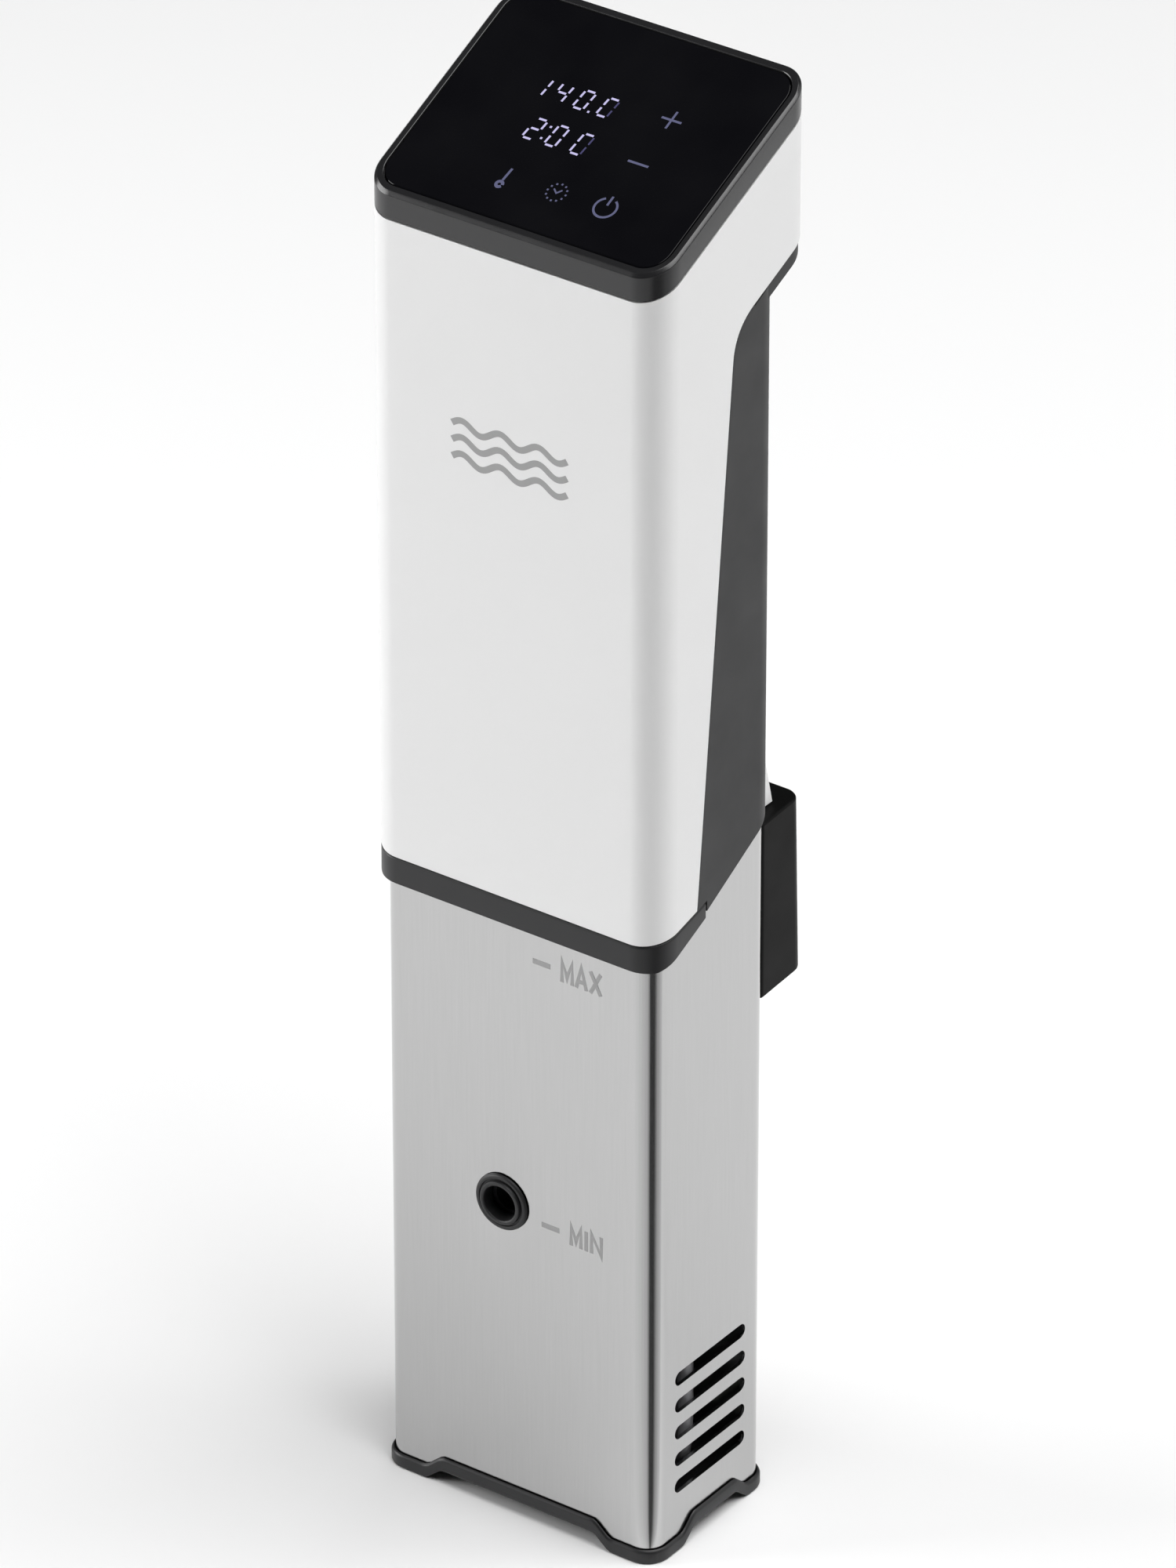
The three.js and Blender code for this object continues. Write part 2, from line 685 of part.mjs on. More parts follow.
const damperTop = deckTop + gap + damperHeight;
const mountLow = damperTop + gap;
const motorLow = mountLow + mountThickness + gap;
const couplerLow = deckTop + 1;
const couplerTop = mountLow + 1;
const couplerMiddle = (couplerLow + couplerTop) / 2;
const bore = shaftRadius + shaftClearance;
const impellerLow = pumpBottom + impellerClearance + voluteWall;
const impellerTop = pumpTop - voluteWall - impellerClearance;
const tubeLow = pumpTop + gap;
const damperPlaces = [60, 180, 300].map((degrees) => {
  const reach = mountRadius - damperRadius + 0.4;
  return [axisX + reach * Math.cos(radians(degrees)), reach * Math.sin(radians(degrees))];
});

damperPlaces.forEach(([x, y], i) => {
  piece(`mount_damper_${i + 1}`, rodZ(damperRadius, x, y, deckTop + gap, damperTop, 16), rubber);
});
piece('motor_mount', cut(
  rodZ(mountRadius, axisX, 0, mountLow, mountLow + mountThickness, 24),
  rodZ(couplerRadius + 2, axisX, 0, mountLow - margin, mountLow + margin),
), darkSteel);
piece('motor_body', cut(
  join(
    rodZ(motorRadius, axisX, 0, motorLow, motorLow + motorHeight, 24),
    rodZ(motorRadius / 2, axisX, 0, motorLow + motorHeight - 1, motorLow + motorHeight + motorCap),
  ),
  rodZ(bore + gap, axisX, 0, motorLow - margin, motorLow + motorBoreDepth, 16),
), darkSteel);
const motorShaftTop = motorLow + motorBoreDepth - 1;
piece('motor_shaft', rodZ(shaftRadius, axisX, 0, couplerMiddle + gap, motorShaftTop, 16), steel);
piece('shaft_coupler', cut(
  rodZ(couplerRadius, axisX, 0, couplerLow, couplerTop),
  rodZ(bore, axisX, 0, couplerLow - 1, couplerMiddle - 2 * gap, 16),
  rodZ(bore, axisX, 0, couplerMiddle, couplerTop + 1, 16),
), brass);
piece('drive_shaft', rodZ(shaftRadius, axisX, 0, impellerLow, couplerMiddle - 3 * gap, 16), steel);
piece('shaft_tube', cut(
  rodZ(tubeRadius, axisX, 0, tubeLow, deckTop),
  rodZ(tubeBore, axisX, 0, tubeLow - margin, deckTop + margin),
), steel);

function bushing(name, low) {
  const ring = rodZ(tubeBore - shaftClearance, axisX, 0, low, low + bushingLength, 12);
  piece(name, cut(ring, rodZ(bore + shaftClearance, axisX, 0, low - 1, low + bushingLength + 1, 12)), brass);
}

bushing('upper_bushing', deckTop - bushingLength - 1);
bushing('lower_bushing', tubeLow + 4);
piece('shaft_seal', cut(
  rodZ(tubeBore - shaftClearance, axisX, 0, tubeLow, tubeLow + shaftSealLength),
  rodZ(bore + shaftClearance, axisX, 0, tubeLow - 1, tubeLow + margin),
), rubber);

// ---------- Pump ----------

function pumpVolute() {
  const spoutEnd = -sleeveDepth / 2 + sleeveWall + spoutReach;
  const casing = rodZ(voluteRadius, axisX, 0, pumpBottom, pumpTop, 24);
  const spout = rodY(spoutBore + spoutWall, outletX, outletZ, spoutEnd, 0);
  const cavity = rodZ(cavityRadius, axisX, 0, pumpBottom - 1, pumpTop - voluteWall, 24);
  const passage = rodY(spoutBore, outletX, outletZ, spoutEnd - margin, 0);
  const shaftHole = rodZ(bore + gap, axisX, 0, pumpTop - margin, pumpTop + margin, 16);
  return cut(join(casing, spout), cavity, passage, shaftHole);
}

function impeller() {
  const radius = cavityRadius - impellerClearance;
  const hub = rodZ(shaftRadius + hubWall, axisX, 0, impellerLow, impellerTop);
  const disc = rodZ(radius, axisX, 0, impellerTop - discThickness, impellerTop, 24);
  const blade = new THREE.Shape();
  const [bladeCentre, bladeRadius] = [radius / 2, radius * 0.7];
  blade.absarc(bladeCentre, -bladeCentre, bladeRadius, radians(55), radians(130));
  blade.absarc(bladeCentre, -bladeCentre, bladeRadius - bladeThickness, radians(130), radians(55), true);
  const blades = [];
  for (let i = 0; i < bladeCount; i += 1) {
    const turned = [0, 0, (360 * i) / bladeCount];
    blades.push(stand(blade, impellerLow, impellerTop - discThickness / 2).rotate(turned));
  }
  const wheel = common(join(...blades), rodZ(radius, 0, 0, impellerLow, impellerTop, 24));
  return cut(join(hub, disc, wheel.translate([axisX, 0, 0])),
    rodZ(bore, axisX, 0, impellerLow - 1, impellerTop + 1, 16));
}

piece('pump_volute', pumpVolute(), blackPart);
piece('impeller', impeller(), material(0xd8d8d2, 0.5));
piece('pump_inlet_cover', cut(
  join(
    rodZ(voluteRadius, axisX, 0, pumpBottom - gap - voluteWall, pumpBottom - gap, 24),
    rodZ(cavityRadius - gap, axisX, 0, pumpBottom - gap - 1, pumpBottom + voluteWall - gap, 24),
  ),
  rodZ(inletRadius, axisX, 0, pumpBottom - 2 * margin, pumpBottom + margin),
), blackPart);

// ---------- Heater, gasket and probes ----------

const gasketTop = deckBottom - gap;
const flangeTop = gasketTop - heaterGasketThickness - gap;
const belowDeck = spigotInset + spigotWall + gap;
piece('heater_gasket', pierced(stand(sleevePlan(belowDeck), flangeTop + gap, gasketTop)), silicone);
const heaterFlange = stand(sleevePlan(belowDeck), flangeTop - heaterFlangeThickness, flangeTop);
piece('heater_flange', pierced(heaterFlange), steel);

// One leg comes down and winds into a flat-sided coil, whose lower end turns up into the other leg.
function heaterElement() {
  const coilTop = coilBottom + coilTurns * coilPitch;
  const top = deckTop + probeTopLength;
  const stepsPerTurn = 16;
  const squash = (value) => Math.sign(value) * Math.abs(value) ** 0.72;
  const points = [];
  for (const z of [top, (top * 2 + coilTop) / 3, (top + coilTop * 2) / 3, coilTop + coilPitch]) {
    points.push(new THREE.Vector3(-coilHalfX, 0, z));
  }
  const steps = stepsPerTurn * (coilTurns + 0.5) - 2;
  for (let i = 1; i <= steps; i += 1) {
    const angle = Math.PI + (2 * Math.PI * i) / stepsPerTurn;
    const z = Math.max(coilTop - (coilPitch * (i - 1)) / stepsPerTurn, coilBottom);
    const [x, y] = [coilHalfX * squash(Math.cos(angle)), coilHalfY * squash(Math.sin(angle))];
    points.push(new THREE.Vector3(x, y, z));
  }
  points.push(new THREE.Vector3(legOuterX - heaterRadius, -heaterRadius / 2, coilBottom));
  for (const z of [coilBottom + 2 * heaterRadius, coilTop, (top + coilTop) / 2, top]) {
    points.push(new THREE.Vector3(legOuterX, 0, z));
  }
  const path = new THREE.CatmullRomCurve3(points, false, 'centripetal');
  return new THREE.ExtrudeGeometry(roundSection(heaterRadius, 3),
    { steps: 104, bevelEnabled: false, extrudePath: path });
}

piece('heater_element', toSolid(heaterElement()), darkSteel);

function probe(name, { x, y, r }, tip) {
  const body = rodZ(r, x, y, tip + r, deckTop + probeTopLength, 8);
  const end = toSolid(new THREE.SphereGeometry(r, 8, 6).rotateX(Math.PI / 2).translate(x, y, tip + r));
  piece(name, join(body, end), steel);
}

probe('temp_probe', tempProbePlace, tempProbeTip);
levelProbePlaces.forEach((place, i) => probe(`level_probe_${i + 1}`, place, levelProbeTip));

// ---------- Power electronics ----------

const innerX = halfWidth - housingWall;
const sinkX = -coilHalfX - heaterRadius - 1.5;
const sinkLow = deckTop + gap;
const boardX = 2.5 - innerX;
const boardFace = boardX + boardThickness;
const boardFoot = motorLow + boardRise;
const partX = boardFace + gap;

function heatsink() {
  const outer = gap - spigotInnerHalf;
  let sink = block(outer, sinkX, -sinkHalfDepth, sinkHalfDepth, sinkLow, sinkLow + sinkHeight);
  for (let i = -2; i <= 2; i += 1) {
    const middle = i * finPitch;
    sink = cut(sink, block(-spigotInnerHalf, sinkX - sinkBase, middle - finGap / 2, middle + finGap / 2,
      sinkLow + sinkBase + 1, sinkLow + sinkHeight + margin));
  }
  return sink;
}

piece('heatsink', heatsink(), aluminium);

const triacX = sinkX + gap;
const triacLow = sinkLow + 2 * triacHalf - 1;
const tabLow = triacLow + 2 * triacHalf - 2;
piece('triac', join(
  block(triacX, triacX + triacThickness, -triacHalf, triacHalf, triacLow, tabLow + 1),
  block(triacX, triacX + tabThickness, -triacHalf, triacHalf, tabLow, tabLow + triacHalf + 2),
), blackPart);
const cutoutTop = sinkLow + cutoutHeight;
piece('thermal_cutout', rodZ(cutoutRadius, legOuterX, -2 * margin, sinkLow, cutoutTop), blackPart);
piece('power_board', block(boardX, boardFace, -14, 13, boardFoot, boardFoot + boardHeight), board);

// A block that stands on the board's face, from a depth and a height above the board's foot.
function onBoard([proud, depth, height], y, above) {
  return block(partX, partX + proud, y, y + depth, boardFoot + above, boardFoot + above + height);
}

function transformer(y, above) {
  const [proud, depth, height] = transformerSize;
  const flange = [proud, depth, bobbinFlange];
  return join(
    onBoard(flange, y, above),
    onBoard([proud - 2, depth - 6, height - 2], y + 3, above + 1),
    onBoard(flange, y, above + height - bobbinFlange),
  );
}

piece('power_relay', onBoard(relaySize, -12, 4), blackPart);
piece('power_transformer', transformer(-11, 27), yellowPart);
piece('power_capacitor', rodX(capacitorRadius, 0, boardFoot + 60, partX, partX + capacitorLength), blackPart);

// ---------- Clamp ----------

const leverInner = leverY - leverThickness;
const bracketRear = gripRear + gap + bracketThickness;
const earOuter = earInner + earWidth;
const knuckleOuter = earInner - gap;
const knuckleInner = knuckleOuter - knuckleWidth;
const pinHole = () => rodX(pinRadius + pinClearance, pivotY, pivotZ, -halfWidth, halfWidth, 16);

// An ear round the pivot, joined back or front to a plate at the given y.
function ear(radius, x0, x1, plateY) {
  const [y0, y1] = [Math.min(pivotY, plateY), Math.max(pivotY, plateY)];
  return join(
    rodX(radius, pivotY, pivotZ, x0, x1, 16),
    block(x0, x1, y0, y1, pivotZ - radius, pivotZ + radius),
  );
}

piece('clamp_bracket', cut(
  join(
    block(-earOuter - 1, earOuter + 1, gripRear + gap, bracketRear,
      pivotZ - bracketHalfHeight, pivotZ + bracketHalfHeight),
    ear(earRadius, earInner, earOuter, bracketRear - 0.5),
    ear(earRadius, -earOuter, -earInner, bracketRear - 0.5),
  ),
  pinHole(),
  ...screwHoles(gripRear - margin),
), greyShell);

screwHeights.forEach((z, i) => {
  piece(`bracket_screw_${i + 1}`, join(
    rodY(screwRadius, 0, z, gripRear - housingWall - screwRadius, bracketRear + 2 * gap, 12),
    rodY(screwHeadRadius, 0, z, bracketRear + gap, bracketRear + gap + screwRadius, 16),
  ), darkSteel);
});

piece('clamp_pin', join(
  rodX(pinRadius, pivotY, pivotZ, -earOuter - 1, earOuter + 1, 16),
  rodX(pinRadius + 1, pivotY, pivotZ, earOuter + gap, earOuter + gap + pinHead, 16),
  rodX(pinRadius + 1, pivotY, pivotZ, -earOuter - gap - pinHead, -earOuter - gap, 16),
), steel);

function clampLever() {
  const foot = jawTop - tongueDepth;
  const low = jawTop + jawRise(leverY) + gap;
  const shoulder = pivotZ - leverShoulder;
  const neck = leverBaseHalf - leverTaper;
  const top = pivotZ + leverTopAbove;
  const face = new THREE.Shape();
  face.moveTo(-tongueHalf, foot);
  face.lineTo(tongueHalf, foot);
  face.lineTo(tongueHalf, low);
  face.lineTo(leverBaseHalf, low);
  face.lineTo(neck, shoulder - 2);
  face.quadraticCurveTo(neck, shoulder + 5, leverThumbHalf, shoulder + 9);
  face.lineTo(leverThumbHalf, top - leverCorner);
  face.quadraticCurveTo(leverThumbHalf, top, leverThumbHalf - leverCorner, top);
  face.lineTo(leverCorner - leverThumbHalf, top);
  face.quadraticCurveTo(-leverThumbHalf, top, -leverThumbHalf, top - leverCorner);
  face.lineTo(-leverThumbHalf, shoulder + 9);
  face.quadraticCurveTo(-neck, shoulder + 5, -neck, shoulder - 2);
  face.lineTo(-leverBaseHalf, low);
  face.lineTo(-tongueHalf, low);
  const side = polygon([
    [leverInner, foot - 1], [leverY, foot - 1], [leverY, pivotZ],
    [leverY + leverLean, top + 1], [leverInner + leverLean, top + 1], [leverInner, pivotZ],
  ]);
  const plate = common(alongY(face, 0, 3 * gripRear), acrossX(side, -halfWidth, halfWidth));
  return cut(
    join(plate, ear(earRadius - 0.2, knuckleInner, knuckleOuter, leverInner + 1),
      ear(earRadius - 0.2, -knuckleOuter, -knuckleInner, leverInner + 1)),
    pinHole(),
  );
}

function clampJaw() {
  const rearTop = jawFrontY + jawDepth;
  const plan = rounded(jawHalfWidth, jawFrontY, jawRearY, jawFrontCorner, jawCorner);
  const side = polygon([[jawFrontY, jawFoot], [jawRearY, jawFoot + jawRise(jawRearY)],
    [rearTop, jawTop + jawRise(rearTop)], [jawFrontY, jawTop]]);
  const pocket = block(-tongueHalf - gap, tongueHalf + gap, leverInner - gap, leverY + gap,
    jawTop - tongueDepth - gap, jawTop + margin);
  const recesses = padPlaces.map(([x0, x1]) => block(x0 - gap, x1 + gap, jawFrontY - margin,
    jawFrontY + padThickness - padProud + gap, padLow - gap, padHigh + gap));
  const body = common(
    stand(plan, jawFoot - margin, jawTop + margin),
    acrossX(side, -halfWidth, halfWidth),
  );
  return cut(body, pocket, ...recesses);
}

const padPlaces = [[padMargin - jawHalfWidth, -padMargin], [padMargin, jawHalfWidth - padMargin]];
const [padLow, padHigh] = [jawFoot + padMargin, jawTop - padBelowTop];

piece('clamp_lever', clampLever(), whiteShell);
piece('clamp_jaw', clampJaw(), blackPlastic);
padPlaces.forEach(([x0, x1], i) => {
  const padFront = jawFrontY - padProud;
  piece(`jaw_pad_${i + 1}`, block(x0, x1, padFront, padFront + padThickness, padLow, padHigh), rubber);
});

function clampSpring() {
  const half = knuckleInner - 2;
  const points = [new THREE.Vector3(-half, pivotY - springRadius, pivotZ + springArm)];
  const steps = springTurns * 12 + 6;
  for (let i = 0; i <= steps; i += 1) {
    const angle = Math.PI + (2 * Math.PI * i) / 12;
    points.push(new THREE.Vector3(-half + (2 * half * i) / steps,
      pivotY + springRadius * Math.cos(angle), pivotZ + springRadius * Math.sin(angle)));
  }
  points.push(new THREE.Vector3(half, pivotY + springRadius, pivotZ + springArm));
  const path = new THREE.CatmullRomCurve3(points, false, 'centripetal');
  return new THREE.ExtrudeGeometry(roundSection(springWire, 2),
    { steps: 76, bevelEnabled: false, extrudePath: path });
}

piece('clamp_spring', toSolid(clampSpring()), steel);

export default group;
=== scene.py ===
"""Immersion circulator: the fine surfaces, materials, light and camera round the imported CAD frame.

Lengths in this script are millimetres in the row frame; to_metres() turns them into Blender's metres.
"""
import json
import math

import bmesh
import bpy
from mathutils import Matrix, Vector


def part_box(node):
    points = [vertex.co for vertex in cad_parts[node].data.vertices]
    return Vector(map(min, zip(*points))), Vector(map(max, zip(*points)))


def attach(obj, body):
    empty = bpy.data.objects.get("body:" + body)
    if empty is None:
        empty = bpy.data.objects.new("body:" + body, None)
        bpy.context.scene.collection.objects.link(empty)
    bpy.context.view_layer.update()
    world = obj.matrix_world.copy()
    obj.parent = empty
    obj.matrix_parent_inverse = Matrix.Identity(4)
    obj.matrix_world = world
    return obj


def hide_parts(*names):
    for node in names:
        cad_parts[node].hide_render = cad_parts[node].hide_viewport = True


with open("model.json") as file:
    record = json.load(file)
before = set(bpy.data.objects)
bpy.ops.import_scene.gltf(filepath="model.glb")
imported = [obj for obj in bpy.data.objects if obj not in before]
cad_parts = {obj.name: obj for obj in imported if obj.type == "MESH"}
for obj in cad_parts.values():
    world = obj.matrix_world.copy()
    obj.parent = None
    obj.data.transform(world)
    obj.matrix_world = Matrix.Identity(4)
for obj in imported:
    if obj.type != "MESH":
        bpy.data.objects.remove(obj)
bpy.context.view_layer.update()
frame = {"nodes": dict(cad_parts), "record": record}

MM = 0.001


def node_box(node):
    """A CAD node's lowest and highest corners, in millimetres."""
    low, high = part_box(node)
    return Vector(low) / MM, Vector(high) / MM


# ---------- Places taken from the frame ----------

shell_low, shell_high = node_box("front_housing")
sleeve_low, sleeve_high = node_box("steel_sleeve")
base_low = node_box("housing_base")[0]
bezel_low, bezel_high = node_box("top_bezel")
glass_high = node_box("touch_glass")[1]
grommet_low, grommet_high = node_box("outlet_grommet")
jaw_low, jaw_high = node_box("clamp_jaw")
lever_high = node_box("clamp_lever")[1]
pin_low, pin_high = node_box("clamp_pin")

HALF = shell_high.x
FRONT = shell_low.y
HEAD_REAR = shell_high.y
GRIP_REAR = sleeve_high.y
CORNER = 7.5
WALL = 2.4
SEAM = 0.4

TILT = math.radians(24.8)
RISE = math.tan(TILT)
BEZEL_GAP = 0.3
BEZEL_HEIGHT = bezel_high.z - bezel_low.z - RISE * (HEAD_REAR - FRONT) + BEZEL_GAP
BEZEL_BASE = bezel_low.z - BEZEL_GAP
HEAD_HEIGHT = 29.0
HEAD_BASE = BEZEL_BASE - HEAD_HEIGHT

SLEEVE_HALF = sleeve_high.x
SLEEVE_FRONT = sleeve_low.y
SLEEVE_REAR = sleeve_high.y
SLEEVE_CORNER = 5.0
SLEEVE_WALL = 0.9

COLLAR_LOW = base_low.z + 11
COLLAR_TOP = COLLAR_LOW + 6.5
COLLAR_TOP_SLOPE = math.tan(math.radians(13.8))
COLLAR_SLOPE = math.tan(math.radians(24.3))
COLLAR_FLAT = 2.6
SKIRT_Y = FRONT + 18.1
SKIRT_RISE = 1.6
SKIRT_SLOPE = math.tan(math.radians(29))
SPLIT_FOOT_Y = FRONT + 14.8
SPLIT_LEAN = math.radians(5.33)
FILLET_RUN = 7.5

LIP_INSET = 0.4
LIP_THICKNESS = 3.2
GLASS_INSET = 2.3
SIGN_THICKNESS = 0.06
MARK_THICKNESS = 0.03

ARCH_HEIGHT = 3.5
ARCH_RUN = 4.1
ARCH_SOFTNESS = 0.18
FOOT_X = 11.4
FOOT_Y = 9.4
SIDE_ARCH_BACK = 1.5
TRIM_SOLE = 1.5
TRIM_PROUD = 1.0
TRIM_HEIGHT = 3.5

VENT_LENGTH = 26.7
VENT_HEIGHT = 3.5
VENT_CENTRE_BACK = 0.2
VENT_LOWEST = 16.4
VENT_PITCH = 7.08
VENT_COUNT = 5
MIN_LEVEL = 79.0
MAX_LEVEL = 145.9

JAW_SLOPE = math.tan(math.radians(3.5))
JAW_FLARE = 1.6
LEVER_THICKNESS = 3.5
LEVER_LEAN = 4.4
LEVER_FOOT_HALF = 27.0
LEVER_NECK_HALF = 23.6
LEVER_TOP_HALF = 19.0
LEVER_CORNER = 6.0
KNUCKLE_RADIUS = 3.3
KNUCKLE_INNER = 7.4
KNUCKLE_OUTER = 10.7


def rise(y):
    return RISE * (y - FRONT)


def bezel_line(y):
    return BEZEL_BASE + rise(y)


def head_line(y):
    return HEAD_BASE + rise(y)


def collar_line(y):
    return COLLAR_TOP + COLLAR_TOP_SLOPE * (y - FRONT)


COLLAR_STEP_Z = COLLAR_LOW + COLLAR_SLOPE * (SKIRT_Y - FRONT - COLLAR_FLAT)


def skirt_line(y):
    return COLLAR_STEP_Z + SKIRT_RISE + SKIRT_SLOPE * (y - SKIRT_Y)


def lower_edge(y):
    """The housing's lower edge, seen from the side."""
    if y > SKIRT_Y:
        return skirt_line(y)
    return COLLAR_LOW + COLLAR_SLOPE * max(0.0, y - FRONT - COLLAR_FLAT)


def seam_corner():
    """Where the leaning seam would meet the head's lower line without its fillet."""
    lean = math.tan(SPLIT_LEAN)
    y = SPLIT_FOOT_Y
    for _ in range(30):
        y = SPLIT_FOOT_Y + lean * (head_line(y) - collar_line(SPLIT_FOOT_Y))
    return y, head_line(y)


def seam_curve(shift, steps=10):
    """The seam's fillet, from the grip up and back under the head, moved off towards the rear shell."""
    corner = Vector(seam_corner())
    start = corner - FILLET_RUN * Vector((math.sin(SPLIT_LEAN), math.cos(SPLIT_LEAN)))
    end = corner + FILLET_RUN * Vector((math.cos(TILT), math.sin(TILT)))
    points = []
    for i in range(steps + 1):
        t = i / steps
        p = start * (1 - t) ** 2 + corner * 2 * t * (1 - t) + end * t * t
        points.append(p + Vector((shift, -shift)))
    return points


def seam_y(z):
    """The leaning stretch of the seam between the two shells at a height."""
    return SPLIT_FOOT_Y + math.tan(SPLIT_LEAN) * (z - collar_line(SPLIT_FOOT_Y))


# ---------- Mesh helpers ----------

def to_metres(points):
    return [Vector(p) * MM for p in points]


def add_object(name, data):
    obj = bpy.data.objects.new(name, data)
    bpy.context.scene.collection.objects.link(obj)
    return obj


def make_object(name, points, faces):
    mesh = bpy.data.meshes.new(name)
    mesh.from_pydata(to_metres(points), [], faces)
    mesh.validate()
    bm = bmesh.new()
    bm.from_mesh(mesh)
    bmesh.ops.remove_doubles(bm, verts=bm.verts, dist=1e-7)
    bmesh.ops.recalc_face_normals(bm, faces=bm.faces)
    bm.to_mesh(mesh)
    bm.free()
    return add_object(name, mesh)


def apply_modifiers(obj):
    """Keeps the evaluated mesh and clears the modifiers."""
    graph = bpy.context.evaluated_depsgraph_get()
    mesh = bpy.data.meshes.new_from_object(obj.evaluated_get(graph))
    obj.modifiers.clear()
    obj.data = mesh


def solidify(obj, thickness):
    mod = obj.modifiers.new("wall", "SOLIDIFY")
    mod.thickness = thickness * MM
    mod.offset = -1
    mod.use_even_offset = True
    apply_modifiers(obj)


def bevel(obj, width, segments=3, angle=35):
    mod = obj.modifiers.new("edge", "BEVEL")
    mod.width = width * MM
    mod.segments = segments
    mod.limit_method = "ANGLE"
    mod.angle_limit = math.radians(angle)
    mod.use_clamp_overlap = True
    mod.harden_normals = False
    apply_modifiers(obj)


def cut_away(obj, cutters):
    for cutter in cutters:
        mod = obj.modifiers.new("cut", "BOOLEAN")
        mod.operation = "DIFFERENCE"
        mod.solver = "EXACT"
        mod.object = cutter
    apply_modifiers(obj)
    for cutter in cutters:
        bpy.data.objects.remove(cutter, do_unlink=True)


def join_objects(name, objects):
    """One object from several, each part keeping its own shape."""
    bm = bmesh.new()
    for obj in objects:
        bm.from_mesh(obj.data)
    mesh = bpy.data.meshes.new(name)
    bm.to_mesh(mesh)
    bm.free()
    for obj in objects:
        bpy.data.objects.remove(obj, do_unlink=True)
    return add_object(name, mesh)


def piece(obj, material, body="housing", replaces=(), sharp=32):
    """Shades a finished object, gives it its material and fastens it to its CAD body."""
    obj.data.materials.clear()
    obj.data.materials.append(material)
    for polygon in obj.data.polygons:
        polygon.use_smooth = True
    obj.data.set_sharp_from_angle(angle=math.radians(sharp))
    weighted = obj.modifiers.new("normals", "WEIGHTED_NORMAL")
    weighted.keep_sharp = True
    weighted.weight = 80
    apply_modifiers(obj)
    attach(obj, body)
    if replaces:
        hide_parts(*replaces)
    return obj


def grid(name, rows, closed=False):
    """A surface through rows of points that all have the same count."""
    points = [p for row in rows for p in row]
    count = len(rows[0])
    faces = []
    last = count if closed else count - 1
    for r in range(len(rows) - 1):
        for c in range(last):
            d = (c + 1) % count
            faces.append((r * count + c, r * count + d, (r + 1) * count + d, (r + 1) * count + c))
    return make_object(name, points, faces)


def sweep(name, loops, capped=False):
    """A closed body through loops; its last loop joins the first unless both ends are capped."""
    count = len(loops[0])
    points = [p for loop in loops for p in loop]
    faces = []
    spans = len(loops) - 1 if capped else len(loops)
    for r in range(spans):
        s = (r + 1) % len(loops)
        for c in range(count):
            d = (c + 1) % count
            faces.append((r * count + c, r * count + d, s * count + d, s * count + c))
    if capped:
        faces.append(tuple(range(count)))
        faces.append(tuple((len(loops) - 1) * count + c for c in reversed(range(count))))
    return make_object(name, points, faces)


def arc(cx, cy, radius, start, end, steps):
    """Points on an arc, with angles in degrees."""
    points = []
    for i in range(steps + 1):
        angle = math.radians(start + (end - start) * i / steps)
        points.append((cx + radius * math.cos(angle), cy + radius * math.sin(angle)))
    return points


def between(a, b, steps):
    """Points from a to b without either end."""
    return [(a[0] + (b[0] - a[0]) * i / steps, a[1] + (b[1] - a[1]) * i / steps) for i in range(1, steps)]


def plan_loop(half, front, rear, front_radius, rear_radius, inset=0.0, steps=12, flats=(10, 6)):
    """A rounded rectangle seen from above, anticlockwise from the middle of the right side."""
    x, low, high = half - inset, front + inset, rear - inset
    a, b = max(front_radius - inset, 0.4), max(rear_radius - inset, 0.4)
    corners = [
        arc(x - b, high - b, b, 0, 90, steps),
        arc(b - x, high - b, b, 90, 180, steps),
        arc(a - x, low + a, a, 180, 270, steps),
        arc(x - a, low + a, a, 270, 360, steps),
    ]
    loop = []
    for i, corner in enumerate(corners):
        loop += corner
        after = corners[(i + 1) % 4][0]
        loop += between(corner[-1], after, flats[i % 2])
    return loop


def prism(name, outline, place, low, high):
    """A straight bar with an outline; place(u, v, w) gives the point for outline (u, v) and height w."""
    loops = [[place(u, v, w) for u, v in outline] for w in (low, high)]
    return sweep(name, loops, capped=True)


def slab(name, near, far):
    """A plate between two outlines whose points pair up first with last, second with second last."""
    total = len(near)
    faces = []
    for k in range(total // 2 - 1):
        a, b, c, d = k, k + 1, total - 2 - k, total - 1 - k
        faces.append((d, c, b, a))
        faces.append((a + total, b + total, c + total, d + total))
    for k in range(total):
        m = (k + 1) % total
        faces.append((k, m, m + total, k + total))
    return make_object(name, near + far, faces)


def lathe(name, profile, place, steps=64, closed=True):
    """A turned body from (radius, height) points; place(x, y, w) puts it."""
    loops = []
    for r, w in profile:
        loops.append([place(r * math.cos(2 * math.pi * i / steps), r * math.sin(2 * math.pi * i / steps), w)
                      for i in range(steps)])
    return sweep(name, loops, capped=not closed)


def upright(x, y):
    """Places a turned body on a vertical axis."""
    return lambda u, v, w: (x + u, y + v, w)


def facing(x, z):
    """Places a turned body on an axis that runs from front to back."""
    return lambda u, v, w: (x + u, w, z + v)


